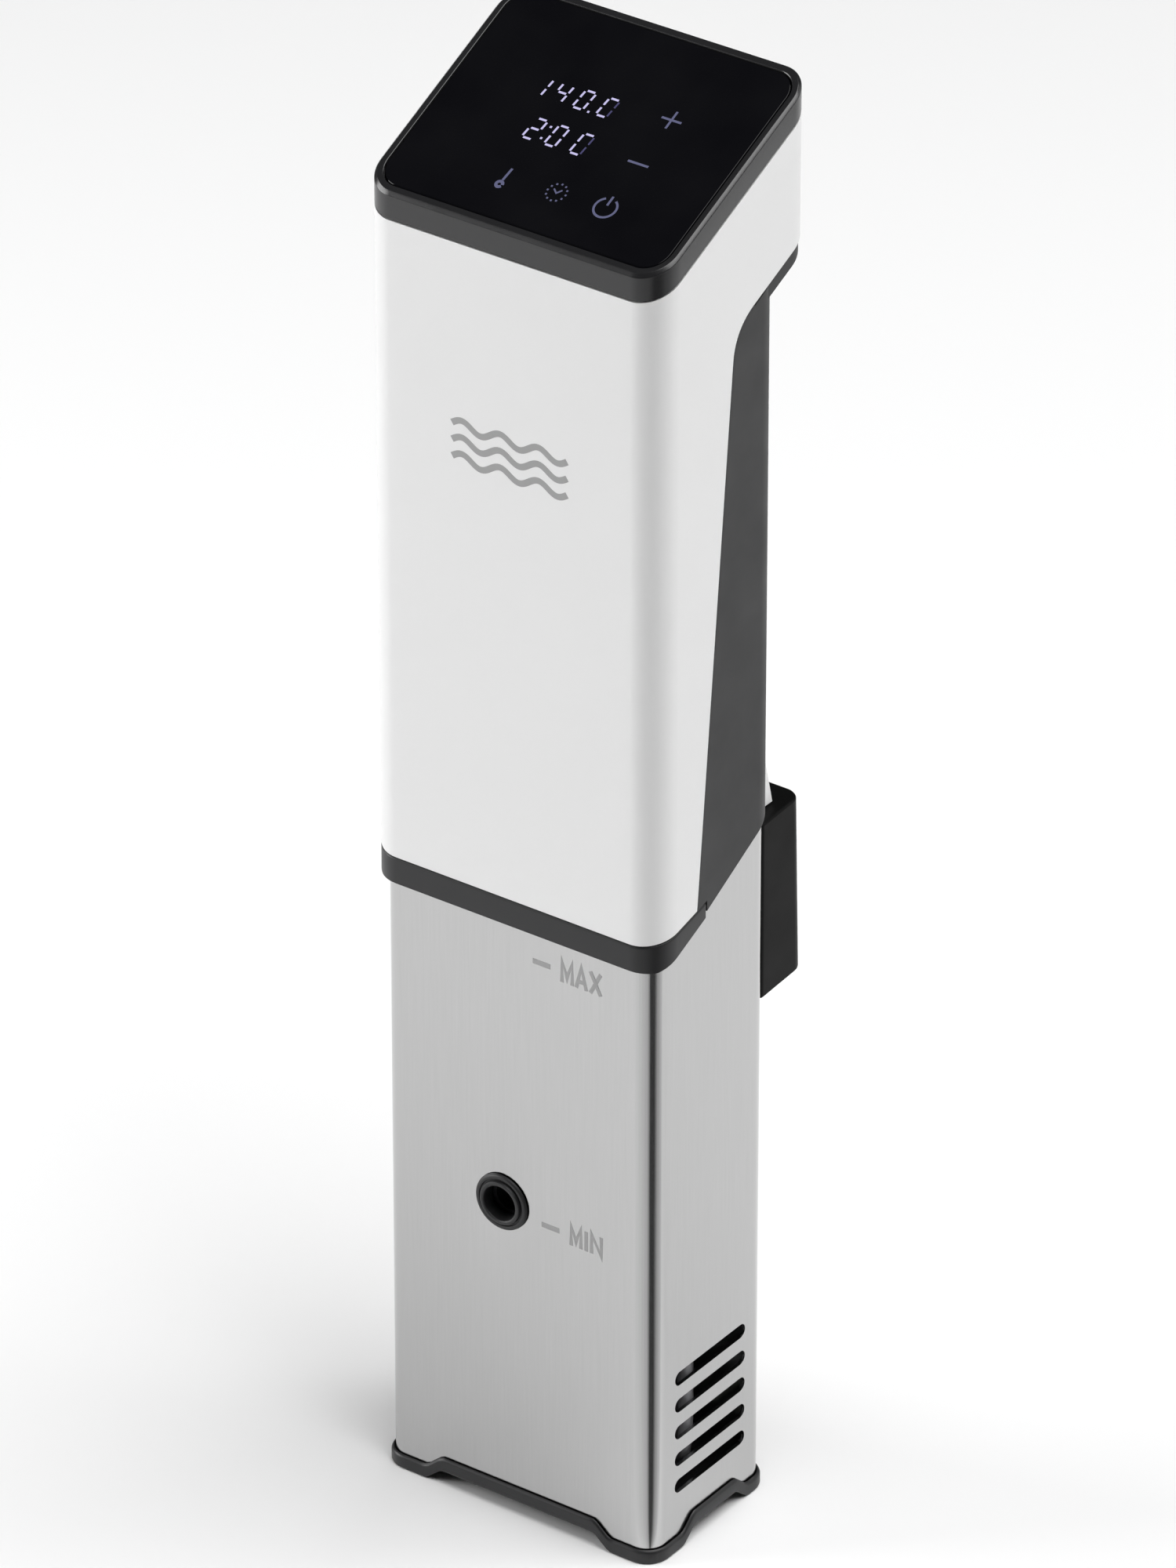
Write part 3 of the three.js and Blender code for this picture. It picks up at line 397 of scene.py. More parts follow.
def tube(name, path, radius, sides=20):
    """A round bar along a path of points, with flat ends."""
    points = [Vector(p) for p in path]
    loops = []
    normal = None
    for i, p in enumerate(points):
        ahead = points[min(i + 1, len(points) - 1)] - points[max(i - 1, 0)]
        direction = ahead.normalized()
        if normal is None:
            seed = Vector((1, 0, 0)) if abs(direction.x) < 0.9 else Vector((0, 1, 0))
            normal = direction.cross(seed).normalized()
        normal = (normal - direction * normal.dot(direction)).normalized()
        side = direction.cross(normal)
        loops.append([p + normal * radius * math.cos(2 * math.pi * k / sides)
                      + side * radius * math.sin(2 * math.pi * k / sides) for k in range(sides)])
    return sweep(name, loops, capped=True)


def smooth_path(points, per_span=8):
    """A Catmull-Rom curve through points."""
    pts = [Vector(p) for p in points]
    out = []
    for i in range(len(pts) - 1):
        p0, p1 = pts[max(i - 1, 0)], pts[i]
        p2, p3 = pts[i + 1], pts[min(i + 2, len(pts) - 1)]
        for k in range(per_span):
            t = k / per_span
            out.append(0.5 * ((2 * p1) + (p2 - p0) * t + (2 * p0 - 5 * p1 + 4 * p2 - p3) * t * t
                              + (3 * p1 - p0 - 3 * p2 + p3) * t ** 3))
    out.append(pts[-1])
    return out


# ---------- Materials ----------

def new_material(name, color, roughness, metallic=0.0):
    mat = bpy.data.materials.new(name)
    mat.use_nodes = True
    shader = mat.node_tree.nodes["Principled BSDF"]
    shader.inputs["Base Color"].default_value = (*color, 1)
    shader.inputs["Roughness"].default_value = roughness
    shader.inputs["Metallic"].default_value = metallic
    return mat, mat.node_tree, shader


def noise(tree, scale, stretch=(1, 1, 1), detail=4.0):
    """Noise in the object's own space, stretched along an axis by a small factor there."""
    coords = tree.nodes.new("ShaderNodeTexCoord")
    mapping = tree.nodes.new("ShaderNodeMapping")
    mapping.inputs["Scale"].default_value = stretch
    texture = tree.nodes.new("ShaderNodeTexNoise")
    texture.inputs["Scale"].default_value = scale
    texture.inputs["Detail"].default_value = detail
    tree.links.new(coords.outputs["Object"], mapping.inputs["Vector"])
    tree.links.new(mapping.outputs["Vector"], texture.inputs["Vector"])
    return texture.outputs["Fac"]


def ranged(tree, value, source, target):
    made = tree.nodes.new("ShaderNodeMapRange")
    for key, number in zip(("From Min", "From Max", "To Min", "To Max"), (*source, *target)):
        made.inputs[key].default_value = number
    tree.links.new(value, made.inputs["Value"])
    return made.outputs["Result"]


def remap(tree, value, low, high):
    """Noise values, which lie mostly between a quarter and three quarters, spread over a range."""
    return ranged(tree, value, (0.25, 0.75), (low, high))


def mottle(tree, value, first, second):
    """A colour that wanders between two close ones."""
    ramp = tree.nodes.new("ShaderNodeValToRGB")
    ramp.color_ramp.elements[0].position = 0.3
    ramp.color_ramp.elements[1].position = 0.7
    ramp.color_ramp.elements[0].color = (*first, 1)
    ramp.color_ramp.elements[1].color = (*second, 1)
    tree.links.new(value, ramp.inputs["Fac"])
    return ramp.outputs["Color"]


def drift(tree, value, shader, color, spread):
    """Lets the base colour wander by a small share either way."""
    lighter = tuple(min(1, c * (1 + spread)) for c in color)
    darker = tuple(c * (1 - spread) for c in color)
    tree.links.new(mottle(tree, value, darker, lighter), shader.inputs["Base Color"])


def bump(tree, value, shader, distance):
    made = tree.nodes.new("ShaderNodeBump")
    made.inputs["Distance"].default_value = distance * MM
    made.inputs["Strength"].default_value = 1.0
    tree.links.new(value, made.inputs["Height"])
    tree.links.new(made.outputs["Normal"], shader.inputs["Normal"])


def plastic(name, color, roughness, grain=0.012, grain_scale=2600, spread=0.06, specular=0.5):
    """Moulded plastic: a fine spark-eroded grain, slight colour drift and uneven gloss."""
    mat, tree, shader = new_material(name, color, roughness)
    drift(tree, noise(tree, 22, detail=2), shader, color, spread)
    fine = noise(tree, grain_scale, detail=2)
    tree.links.new(remap(tree, noise(tree, 90, detail=3), roughness * 0.9, min(1, roughness * 1.1)),
                   shader.inputs["Roughness"])
    bump(tree, fine, shader, grain)
    shader.inputs["Specular IOR Level"].default_value = specular
    return mat


def metal(name, color, roughness, stretch=(1, 1, 0.02), scale=900, groove=0.004, spread=0.05):
    """Drawn or brushed metal, with its lines along the direction of the small stretch."""
    mat, tree, shader = new_material(name, color, roughness, 1.0)
    lines = noise(tree, scale, stretch, detail=5)
    drift(tree, lines, shader, color, spread)
    tree.links.new(remap(tree, lines, roughness * 0.85, roughness * 1.2), shader.inputs["Roughness"])
    bump(tree, lines, shader, groove)
    return mat


def glow(name, color, strength):
    mat, _, shader = new_material(name, (0.02, 0.02, 0.03), 0.4)
    shader.inputs["Emission Color"].default_value = (*color, 1)
    shader.inputs["Emission Strength"].default_value = strength
    return mat


def glass_material():
    mat, tree, shader = new_material("black_glass", (0.004, 0.004, 0.005), 0.05)
    tree.links.new(mottle(tree, noise(tree, 60, detail=2), (0.0035, 0.0035, 0.0045), (0.005, 0.005, 0.006)),
                   shader.inputs["Base Color"])
    tree.links.new(remap(tree, noise(tree, 140), 0.04, 0.07), shader.inputs["Roughness"])
    shader.inputs["Specular IOR Level"].default_value = 0.2
    return mat


def board_material():
    """Green solder mask with the faint relief of tracks."""
    mat, tree, shader = new_material("circuit_board", (0.02, 0.13, 0.06), 0.4)
    coords = tree.nodes.new("ShaderNodeTexCoord")
    brick = tree.nodes.new("ShaderNodeTexBrick")
    brick.inputs["Scale"].default_value = 220
    brick.inputs["Mortar Size"].default_value = 0.05
    brick.inputs["Color1"].default_value = (0.018, 0.12, 0.05, 1)
    brick.inputs["Color2"].default_value = (0.022, 0.15, 0.07, 1)
    brick.inputs["Mortar"].default_value = (0.06, 0.26, 0.12, 1)
    tree.links.new(coords.outputs["Object"], brick.inputs["Vector"])
    tree.links.new(brick.outputs["Color"], shader.inputs["Base Color"])
    bump(tree, brick.outputs["Fac"], shader, 0.03)
    return mat


WHITE = plastic("white_shell", (0.80, 0.80, 0.80), 0.38, grain=0.004, spread=0.006)
GREY = plastic("grey_shell", (0.034, 0.034, 0.035), 0.55, grain=0.012, specular=0.35)
BLACK = plastic("black_plastic", (0.016, 0.016, 0.017), 0.42, grain=0.008, specular=0.4)
JAW_BLACK = plastic("jaw_plastic", (0.004, 0.004, 0.004), 0.45, grain=0.008, specular=0.08)
BEZEL = plastic("bezel_plastic", (0.014, 0.014, 0.015), 0.24, grain=0.003, specular=0.6)
COMPONENT = plastic("black_component", (0.012, 0.012, 0.014), 0.45, grain=0.01)
NYLON = plastic("pale_plastic", (0.62, 0.61, 0.56), 0.45, grain=0.01, spread=0.03)
RUBBER = plastic("black_rubber", (0.010, 0.010, 0.011), 0.5, grain=0.03, grain_scale=1400)
SILICONE = plastic("red_silicone", (0.42, 0.06, 0.03), 0.6, grain=0.03, grain_scale=1200)
WINDING = plastic("yellow_winding", (0.55, 0.36, 0.03), 0.55, grain=0.03, grain_scale=700)
STEEL = metal("brushed_steel", (0.505, 0.505, 0.505), 0.17, scale=2600, groove=0.0012, spread=0.025)
TURNED = metal("plain_steel", (0.60, 0.60, 0.61), 0.28, stretch=(1, 1, 6), scale=500)
DARK_STEEL = metal("dark_steel", (0.25, 0.25, 0.26), 0.42, stretch=(1, 1, 1), scale=700, groove=0.01)
BRASS = metal("brass", (0.56, 0.38, 0.13), 0.33, stretch=(1, 1, 6), scale=500)
ALUMINIUM = metal("aluminium", (0.66, 0.67, 0.69), 0.42, scale=600)
GLASS = glass_material()
BOARD = board_material()
DIGITS = glow("lit_digits", (0.66, 0.62, 0.95), 0.85)
DIM_DIGITS = glow("dim_digits", (0.10, 0.09, 0.30), 0.4)
ICONS = glow("lit_icons", (0.20, 0.21, 0.40), 0.45)
PRINT = plastic("grey_print", (0.33, 0.33, 0.33), 0.4, grain=0.004)
ETCH = metal("etched_marks", (0.36, 0.36, 0.36), 0.5, stretch=(1, 1, 1), scale=1500)

SLOT_MATERIALS = {
    "brushed_steel": STEEL, "plain_steel": TURNED, "dark_steel": DARK_STEEL, "brass": BRASS,
    "aluminium": ALUMINIUM, "white_shell": WHITE, "grey_shell": GREY, "black_plastic": BLACK,
    "bezel_plastic": BEZEL, "pale_plastic": NYLON, "black_component": COMPONENT, "yellow_winding": WINDING,
    "circuit_board": BOARD, "black_rubber": RUBBER, "red_silicone": SILICONE, "black_glass": GLASS,
}


def dress_cad_nodes():
    """Every carried-over CAD node gets the procedural material of its record slot."""
    slots = {row["node"]: row["material_slot"] for row in frame["record"]["subparts"]}
    for name, obj in frame["nodes"].items():
        material = SLOT_MATERIALS[slots[name]]
        if obj.material_slots:
            for material_slot in obj.material_slots:
                material_slot.material = material
        else:
            obj.data.materials.append(material)


# ---------- Camera ----------

def make_camera():
    azimuth, elevation = math.radians(35.816), math.radians(30.43)
    distance, focal = 2.44295, 259.306
    target = Vector((3.06, FRONT + 24.1, 179.2)) * MM
    away = Vector((math.sin(azimuth) * math.cos(elevation), -math.cos(azimuth) * math.cos(elevation),
                   math.sin(elevation)))
    data = bpy.data.cameras.new("camera")
    data.sensor_width = 36
    data.lens = focal
    data.clip_end = 60
    camera = add_object("camera", data)
    camera.location = target + away * distance
    camera.rotation_euler = away.to_track_quat("Z", "Y").to_euler()
    bpy.context.scene.camera = camera


# ---------- White front shell ----------

def mirrored(points):
    """A half outline that starts at the seam on the right, completed on the left."""
    return points + [(-x, y) for x, y in reversed(points[:-1])]


def round_end(start_y, end_y, inset=0.0, side_steps=5, end_steps=8):
    """Round one end of the housing's outline: from the right side at start_y to the left side."""
    turn = 1 if end_y > start_y else -1
    x, centre_y = HALF - inset, end_y - turn * CORNER
    side = [(x, start_y)] + between((x, start_y), (x, centre_y), side_steps)
    corner = arc(HALF - CORNER, centre_y, CORNER - inset, 0, turn * 90, 14)
    tip = (0, end_y - turn * inset)
    return mirrored(side + corner + between(corner[-1], tip, end_steps) + [tip])


def front_outline(start_y):
    return round_end(start_y, FRONT, side_steps=4)


def front_shell():
    corner_y, corner_z = seam_corner()
    fillet = seam_curve(0)

    def low(y):
        return collar_line(y) + SEAM

    def height(y, v):
        return low(y) * (1 - v) + head_line(y) * v

    fillet_v = (fillet[0].y - low(fillet[0].x)) / (head_line(fillet[0].x) - low(fillet[0].x))
    steps = [0, 0.01, 0.1, 0.25, 0.4, 0.55, 0.7, 0.82, 0.9, fillet_v, 1]
    rows = []
    for v in steps:
        y = corner_y if v == 1 else SPLIT_FOOT_Y
        for _ in range(20 if v < 1 else 0):
            y = seam_y(height(y, v))
        if v == 0:
            y = SPLIT_FOOT_Y
        rows.append([(px, py, height(py, v)) for px, py in front_outline(y)])
    grip = grid("grip_part", rows)

    back = round_end(fillet[-1].x, HEAD_REAR, side_steps=3, end_steps=6)
    loop = front_outline(corner_y) + list(reversed(back))
    heights = [0, 0.04, 0.3, 0.6, 0.96, 1]
    rows = [[(px, py, head_line(py) * (1 - v) + bezel_line(py) * v) for px, py in loop] for v in heights]
    head = grid("head_part", rows, closed=True)

    fillers = []
    for side in (1, -1):
        points = [(side * HALF, corner_y, corner_z)] + [(side * HALF, p.x, p.y) for p in fillet]
        fillers.append(make_object("filler", points, [tuple(range(len(points)))]))
    shell = join_objects("front_housing_shell", [grip, head, *fillers])
    merge(shell)
    solidify(shell, WALL)
    bevel(shell, 0.35, 3)
    return piece(shell, WHITE, replaces=["front_housing"])


def merge(obj, distance=0.002):
    """Joins the doubled points of neighbouring patches and turns every face outwards."""
    bm = bmesh.new()
    bm.from_mesh(obj.data)
    bmesh.ops.remove_doubles(bm, verts=bm.verts, dist=distance * MM)
    bmesh.ops.recalc_face_normals(bm, faces=bm.faces)
    probe = max(bm.faces, key=lambda f: f.calc_center_median().x)
    if probe.normal.x < 0:
        bmesh.ops.reverse_faces(bm, faces=bm.faces)
    bm.to_mesh(obj.data)
    bm.free()


# ---------- Grey rear shell and the lip under the head ----------

def rear_shell():
    fillet = seam_curve(SEAM)

    def top(y):
        return fillet[-1].y + RISE * (y - fillet[-1].x)

    edge = [(SKIRT_Y + SEAM, skirt_line(SKIRT_Y + SEAM)),
            (SKIRT_Y + SEAM, collar_line(SKIRT_Y + SEAM) + SEAM),
            (SPLIT_FOOT_Y + SEAM, collar_line(SPLIT_FOOT_Y) + SEAM)]
    foot, head = Vector(edge[-1]), fillet[0]
    edge += [tuple(foot.lerp(head, t)) for t in (0.02, 0.15, 0.3, 0.5, 0.7, 0.85, 0.95)]
    edge += [tuple(p) for p in fillet]
    rows = []
    for y, z in edge:
        v = (z - skirt_line(y)) / (top(y) - skirt_line(y))
        rows.append([(px, py, skirt_line(py) * (1 - v) + top(py) * v) for px, py in round_end(y, GRIP_REAR)])
    shell = grid("rear_wall", rows)
    merge(shell)
    solidify(shell, WALL)
    bevel(shell, 0.3, 3)
    cut_away(shell, [rod_y("hole", 0, gland_z(), 5.5, 0, GRIP_REAR + 6)])
    both = join_objects("rear_housing_shell", [shell, head_lip(top)])
    piece(both, GREY, replaces=["rear_housing"])


def painted_seam_shade():
    """Painted shade: a black band laid over the groove between the two shells, up the grip and under the
    head.
    """
    start = SPLIT_FOOT_Y, collar_line(SPLIT_FOOT_Y) + SEAM
    front = [Vector(start)] + [Vector(p) for p in seam_curve(0)]
    back = [p + Vector((SEAM, -SEAM)) for p in front]
    back[0] = front[0] + Vector((SEAM, 0))
    strips = []
    for side in (1, -1):
        loops = []
        for a, b in zip(front, back):
            a, b = a.lerp(b, 0.05), a.lerp(b, 1.55)
            loops.append([(side * (HALF + 0.03), a.x, a.y), (side * (HALF + 0.03), b.x, b.y),
                          (side * (HALF - 1.6), b.x, b.y), (side * (HALF - 1.6), a.x, a.y)])
        strips.append(sweep("strip", loops, capped=True))
    # the black rubber material only gives the band its dark colour; the band paints the shade in the groove
    piece(join_objects("painted_seam_shade", strips), RUBBER)


def gland_z():
    low, high = node_box("cord_gland")
    return (low.z + high.z) / 2


def rod_y(name, x, z, radius, y0, y1, steps=48):
    return lathe(name, [(radius, y0), (radius, y1)], facing(x, z), steps, closed=False)


def head_lip(top):
    """The thin dark edge that shows under the head, past the grip."""
    start = seam_curve(SEAM)[-1].x
    outer = round_end(start, HEAD_REAR, LIP_INSET, 3, 4)
    inner = round_end(start, GRIP_REAR, WALL, 3, 4)
    loops = []
    for k in range(len(outer)):
        (ox, oy), (ix, iy) = outer[k], inner[k]
        loops.append([(ox, oy, top(oy) - LIP_THICKNESS), (ox, oy, top(oy)), (ix, iy, top(iy)),
                      (ix, iy, top(iy) - LIP_THICKNESS)])
    return sweep("lip", loops, capped=True)


# ---------- Bezel and glass ----------

def head_plan(inset):
    return plan_loop(HALF, FRONT, HEAD_REAR, CORNER, CORNER, inset, steps=16)


def tilted_loop(inset, height):
    return [(x, y, bezel_line(y) + height) for x, y in head_plan(inset)]


def top_bezel():
    rim = BEZEL_HEIGHT
    profile = [(0, BEZEL_GAP + 0.2), (0, rim - 0.75), (0.08, rim - 0.6), (0.62, rim - 0.06), (0.78, rim),
               (1.8, rim), (1.95, rim - 0.1), (2.0, rim - 0.3), (2.0, 3.4), (4.6, 3.2), (4.6, BEZEL_GAP),
               (0.2, BEZEL_GAP)]
    bezel = sweep("top_bezel_rim", [tilted_loop(inset, height) for inset, height in profile])
    return piece(bezel, BEZEL, replaces=["top_bezel"], sharp=50)


def touch_glass():
    inset, top = GLASS_INSET, GLASS_TOP
    profile = [(inset, top - 1.9), (inset, top - 0.35), (inset + 0.1, top - 0.1), (inset + 0.35, top)]
    pane = sweep("touch_glass_pane", [tilted_loop(a, b) for a, b in profile], capped=True)
    return piece(pane, GLASS, replaces=["touch_glass"])


# ---------- Signs on the glass, as thin shapes in the panel's own plane ----------

GLASS_TOP = glass_high.z - bezel_line(HEAD_REAR - GLASS_INSET)


def on_panel(x, along, height):
    """A point on the tilted panel: across, up the slope from the front edge, and out of the glass."""
    y = FRONT + along * math.cos(TILT)
    lift = GLASS_TOP + height / math.cos(TILT)
    return x, y, bezel_line(y) + lift


def stroke(name, points, width, place=on_panel, thickness=SIGN_THICKNESS):
    """A bar of one width along a polyline, with mitred turns."""
    pts = [Vector(p) for p in points]
    left, right = [], []
    for i, p in enumerate(pts):
        before = (p - pts[i - 1]).normalized() if i else (pts[1] - p).normalized()
        after = (pts[i + 1] - p).normalized() if i < len(pts) - 1 else before
        across = Vector((-(before.y + after.y), before.x + after.x))
        across = across.normalized() if across.length > 1e-6 else Vector((-before.y, before.x))
        reach = width / 2 / max(0.35, across.dot(Vector((-before.y, before.x))))
        left.append(p + across * reach)
        right.append(p - across * reach)
    outline = [tuple(p) for p in right] + [tuple(p) for p in reversed(left)]
    near, far = [[place(u, v, w) for u, v in outline] for w in (0.0, thickness)]
    return slab(name, near, far)


SEGMENTS = {
    "0": "abcdef", "1": "bc", "2": "abged", "4": "fgbc",
}


def digit(character, x, along, width, height, slant, dim=""):
    """A seven-segment figure as lists of lit and dim bars."""
    half = height / 2
    gap = 0.42
    ends = {
        "a": ((gap, height), (width - gap, height)),
        "g": ((gap, half), (width - gap, half)),
        "d": ((gap, 0), (width - gap, 0)),
        "f": ((0, half + gap), (0, height - gap)),
        "e": ((0, gap), (0, half - gap)),
        "b": ((width, half + gap), (width, height - gap)),
        "c": ((width, gap), (width, half - gap)),
    }
    lit, faint = [], []
    for name in SEGMENTS[character]:
        bar = [(x + u + slant * v / height, along + v) for u, v in ends[name]]
        (faint if name in dim else lit).append(bar)
    return lit, faint


def panel_signs():
    lit, faint = [], []
    rows = [
        (34.9, 5.0, [("1", -17.6, ""), ("4", -12.3, ""), ("0", -6.6, ""), ("0", -0.5, "bc")]),
        (23.9, 5.6, [("2", -12.4, ""), ("0", -6.7, ""), ("0", -0.2, "bc")]),
    ]
    for along, height, figures in rows:
        for character, x, dim in figures:
            bars, dims = digit(character, x, along, 2.7, height, 0.5, dim)
            lit += bars
            faint += dims
    dots = [[(-2.6, 34.9), (-2.1, 34.9)], [(-8.3, 25.0), (-7.8, 25.0)], [(-8.0, 28.4), (-7.5, 28.4)]]
    bars = [stroke("bar", bar, 0.46) for bar in lit + dots]
    piece(join_objects("display_figures", bars), DIGITS)
    bars = [stroke("bar", bar, 0.38) for bar in faint]
    piece(join_objects("display_figures_dim", bars), DIM_DIGITS)

    icons = [stroke("plus", [(13.7, 39.4), (18.7, 39.4)], 0.5),
             stroke("plus", [(16.2, 37.0), (16.2, 39.1)], 0.5),
             stroke("plus", [(16.2, 39.7), (16.2, 41.8)], 0.5),
             stroke("minus", [(13.4, 26.5), (18.6, 26.5)], 0.5)]
    icons += power_icon(16.0, 13.6, 2.6) + clock_icon(3.6, 13.4, 2.3) + thermometer_icon(-9.6, 10.9)
    piece(join_objects("touch_icons", icons), ICONS)


def power_icon(x, along, radius):
    ring = arc(x, along, radius, 120, 420, 28)
    bar = [(x, along + 0.7), (x, along + 3.2)]
    return [stroke("ring", ring, 0.5), stroke("bar", bar, 0.5)]


def clock_icon(x, along, radius):
    """A dial of twelve dots and two hands."""
    made = []
    for i in range(12):
        angle = math.radians(30 * i)
        u, v = x + radius * math.cos(angle), along + radius * math.sin(angle)
        made.append(stroke("dot", [(u - 0.2, v), (u + 0.2, v)], 0.4))
    hands = [(x - 1.1, along + 0.7), (x, along - 0.2), (x + 0.9, along + 0.9)]
    made.append(stroke("hands", hands, 0.35))
    return made


def thermometer_icon(x, along):
    bulb = arc(x, along, 0.75, 0, 330, 16)
    stem = [(x + 0.1, along + 1.2), (x + 0.35, along + 4.6)]
    return [stroke("bulb", bulb, 0.7), stroke("stem", stem, 0.55)]


# ---------- Collar, flange, spigot and deck ----------

def base_loop(inset, height, up_to):
    """The collar's outline from its right rear end round the front, at a height given by a function of y."""
    return [(x, y, height(y)) for x, y in round_end(up_to, FRONT, inset)]


def collar():
    """The visible band: outer face, lower ledge and its inner side, closed at both ends."""
    def low(y):
        return COLLAR_LOW + COLLAR_SLOPE * max(0.0, y - FRONT - COLLAR_FLAT)

    depth = WALL + 2.6
    end = SKIRT_Y + 0.25
    loops = [
        base_loop(0, low, end),
        base_loop(0, collar_line, end),
        base_loop(depth, collar_line, end),
        base_loop(depth, low, end),
    ]
    rings = [list(section) for section in zip(*loops)]
    band = sweep("collar_band", rings, capped=True)
    bevel(band, 0.45, 3)
    return piece(band, BLACK, replaces=["housing_base"])


def sleeve_plan(inset, flats=(10, 6)):
    radius = SLEEVE_CORNER
    return plan_loop(SLEEVE_HALF, SLEEVE_FRONT, SLEEVE_REAR, radius, radius, inset, flats=flats)


def spigot_and_deck():
    """What the sleeve hides: the flange under the housing, the spigot with its groove, and the deck."""
    low, high = base_low.z, frame_deck_top()
    outer, inner = 1.5, 4.0
    groove_low = node_box("sleeve_seal")[0].z - 0.3
    groove_high = node_box("sleeve_seal")[1].z + 0.3
    profile = [(inner, low), (outer + 0.4, low), (outer, low + 0.4), (outer, groove_low),
               (outer + 1.4, groove_low), (outer + 1.4, groove_high), (outer, groove_high),
               (outer, COLLAR_LOW + 1.0)]
    wall_top = high - 4.0
    loops = [[(x, y, z) for x, y in sleeve_plan(inset)] for inset, z in profile]
    loops.append([(x, y, lower_edge(y) + 0.6) for x, y in sleeve_plan(outer)])
    loops.append([(x, y, max(wall_top, lower_edge(y) + 0.6) + 3.0) for x, y in sleeve_plan(outer + 1.5)])
    loops.append([(x, y, wall_top) for x, y in sleeve_plan(inner)])
    body = sweep("spigot", loops)
    underside = [[(x, y, lower_edge(y) + 0.05) for x, y in ring]
                 for ring in (flange_plan(WALL + SEAM), sleeve_plan(outer - 0.2))]
    topside = [[(x, y, lower_edge(y) + 4.0) for x, y in ring]
               for ring in (sleeve_plan(outer - 0.2), flange_plan(WALL + SEAM))]
    flange = sweep("flange", underside + topside)
    deck_loops = [[(x, y, z) for x, y in sleeve_plan(inner - 0.2)] for z in (wall_top, high)]
    deck = sweep("deck", deck_loops, capped=True)
    both = join_objects("spigot_deck", [body, flange, deck])
    return piece(both, BLACK)


def frame_deck_top():
    return node_box("shaft_tube")[1].z


def flange_plan(inset):
    return plan_loop(HALF, FRONT, GRIP_REAR, CORNER, CORNER, inset, 12)


# ---------- Steel sleeve, trim, grommet and level marks ----------

def ramp(distance, start, run):
    """0 before the start, 1 past the run, straight between with softened ends."""
    t = (distance - start) / run
    soft = ARCH_SOFTNESS
    if t <= -soft:
        return 0.0
    if t >= 1 + soft:
        return 1.0
    if t < soft:
        return (t + soft) ** 2 / (4 * soft)
    if t > 1 - soft:
        return 1 - (1 + soft - t) ** 2 / (4 * soft)
    return t


def arch(x, y):
    """How far the sleeve's lower edge is raised at a point of its outline."""
    middle = (SLEEVE_FRONT + SLEEVE_REAR) / 2 + SIDE_ARCH_BACK
    from_side = SLEEVE_HALF - abs(x)
    from_end = (SLEEVE_REAR - SLEEVE_FRONT) / 2 - abs(y - middle)
    return ARCH_HEIGHT * (ramp(from_side, FOOT_X, ARCH_RUN) + ramp(from_end, FOOT_Y, ARCH_RUN))


def arched_plan(inset):
    """The sleeve's outline with enough points along its sides for the arches."""
    return sleeve_plan(inset, flats=(64, 32))


def slot_cutter(z):
    """A slot with round ends through both sides of the sleeve."""
    centre = (SLEEVE_FRONT + SLEEVE_REAR) / 2 + VENT_CENTRE_BACK
    flat, radius = (VENT_LENGTH - VENT_HEIGHT) / 2, VENT_HEIGHT / 2
    outline = arc(centre + flat, z, radius, -90, 90, 14) + arc(centre - flat, z, radius, 90, 270, 14)
    return prism("slot", outline, lambda u, v, w: (w, u, v), -SLEEVE_HALF - 5, SLEEVE_HALF + 5)


def outlet_place():
    return (grommet_low.x + grommet_high.x) / 2, (grommet_low.z + grommet_high.z) / 2


def steel_sleeve():
    plan = arched_plan(0)
    bottom = [(x, y, sleeve_low.z + arch(x, y)) for x, y in plan]
    top = [(x, y, lower_edge(y) - SEAM) for x, y in plan]
    rows = [bottom]
    for v in (0.03, 0.1, 0.35, 0.7, 0.97):
        rows.append([(a[0], a[1], a[2] * (1 - v) + b[2] * v) for a, b in zip(bottom, top)])
    rows.append(top)
    sleeve = grid("steel_sleeve_wall", rows, closed=True)
    merge(sleeve)
    solidify(sleeve, SLEEVE_WALL)
    outlet_x, outlet_z = outlet_place()
    cutters = [slot_cutter(VENT_LOWEST + VENT_PITCH * i) for i in range(VENT_COUNT)]
    cutters.append(rod_y("hole", outlet_x, outlet_z, 5.3, SLEEVE_FRONT - 5, 0))
    dish = [(8.6, SLEEVE_FRONT - 0.2), (7.15, SLEEVE_FRONT + 0.5)]
    cutters.append(lathe("dish", dish, facing(outlet_x, outlet_z), 64, closed=False))
    cut_away(sleeve, cutters)
    bevel(sleeve, 0.18, 2, angle=50)
    return piece(sleeve, STEEL, "sleeve", ["steel_sleeve"])


def sleeve_trim():
    """A channel that follows the sleeve's lower edge, seen as a section of (outset, height) points."""
    proud, height = TRIM_PROUD, TRIM_HEIGHT
    inner = -SLEEVE_WALL - proud
    slot_in, slot_out = -SLEEVE_WALL - 0.3, 0.3
    section = [(inner + 0.4, 0), (proud - 0.5, 0), (proud - 0.15, 0.2), (proud, 0.6), (proud, height - 0.8),
               (proud - 0.2, height - 0.3), (proud - 0.6, height), (slot_out, height), (slot_out, TRIM_SOLE),
               (slot_in, TRIM_SOLE), (slot_in, height), (inner + 0.2, height), (inner, height - 0.3),
               (inner, 0.4)]
    base = arched_plan(0)
    raised = [arch(x, y) for x, y in base]
    loops = []
    for outset, z in section:
        ring = arched_plan(-outset)
        loops.append([(x, y, z + lift) for (x, y), lift in zip(ring, raised)])
    trim = sweep("sleeve_trim_edge", loops)
    return piece(trim, BLACK, "sleeve", ["sleeve_trim"], sharp=45)


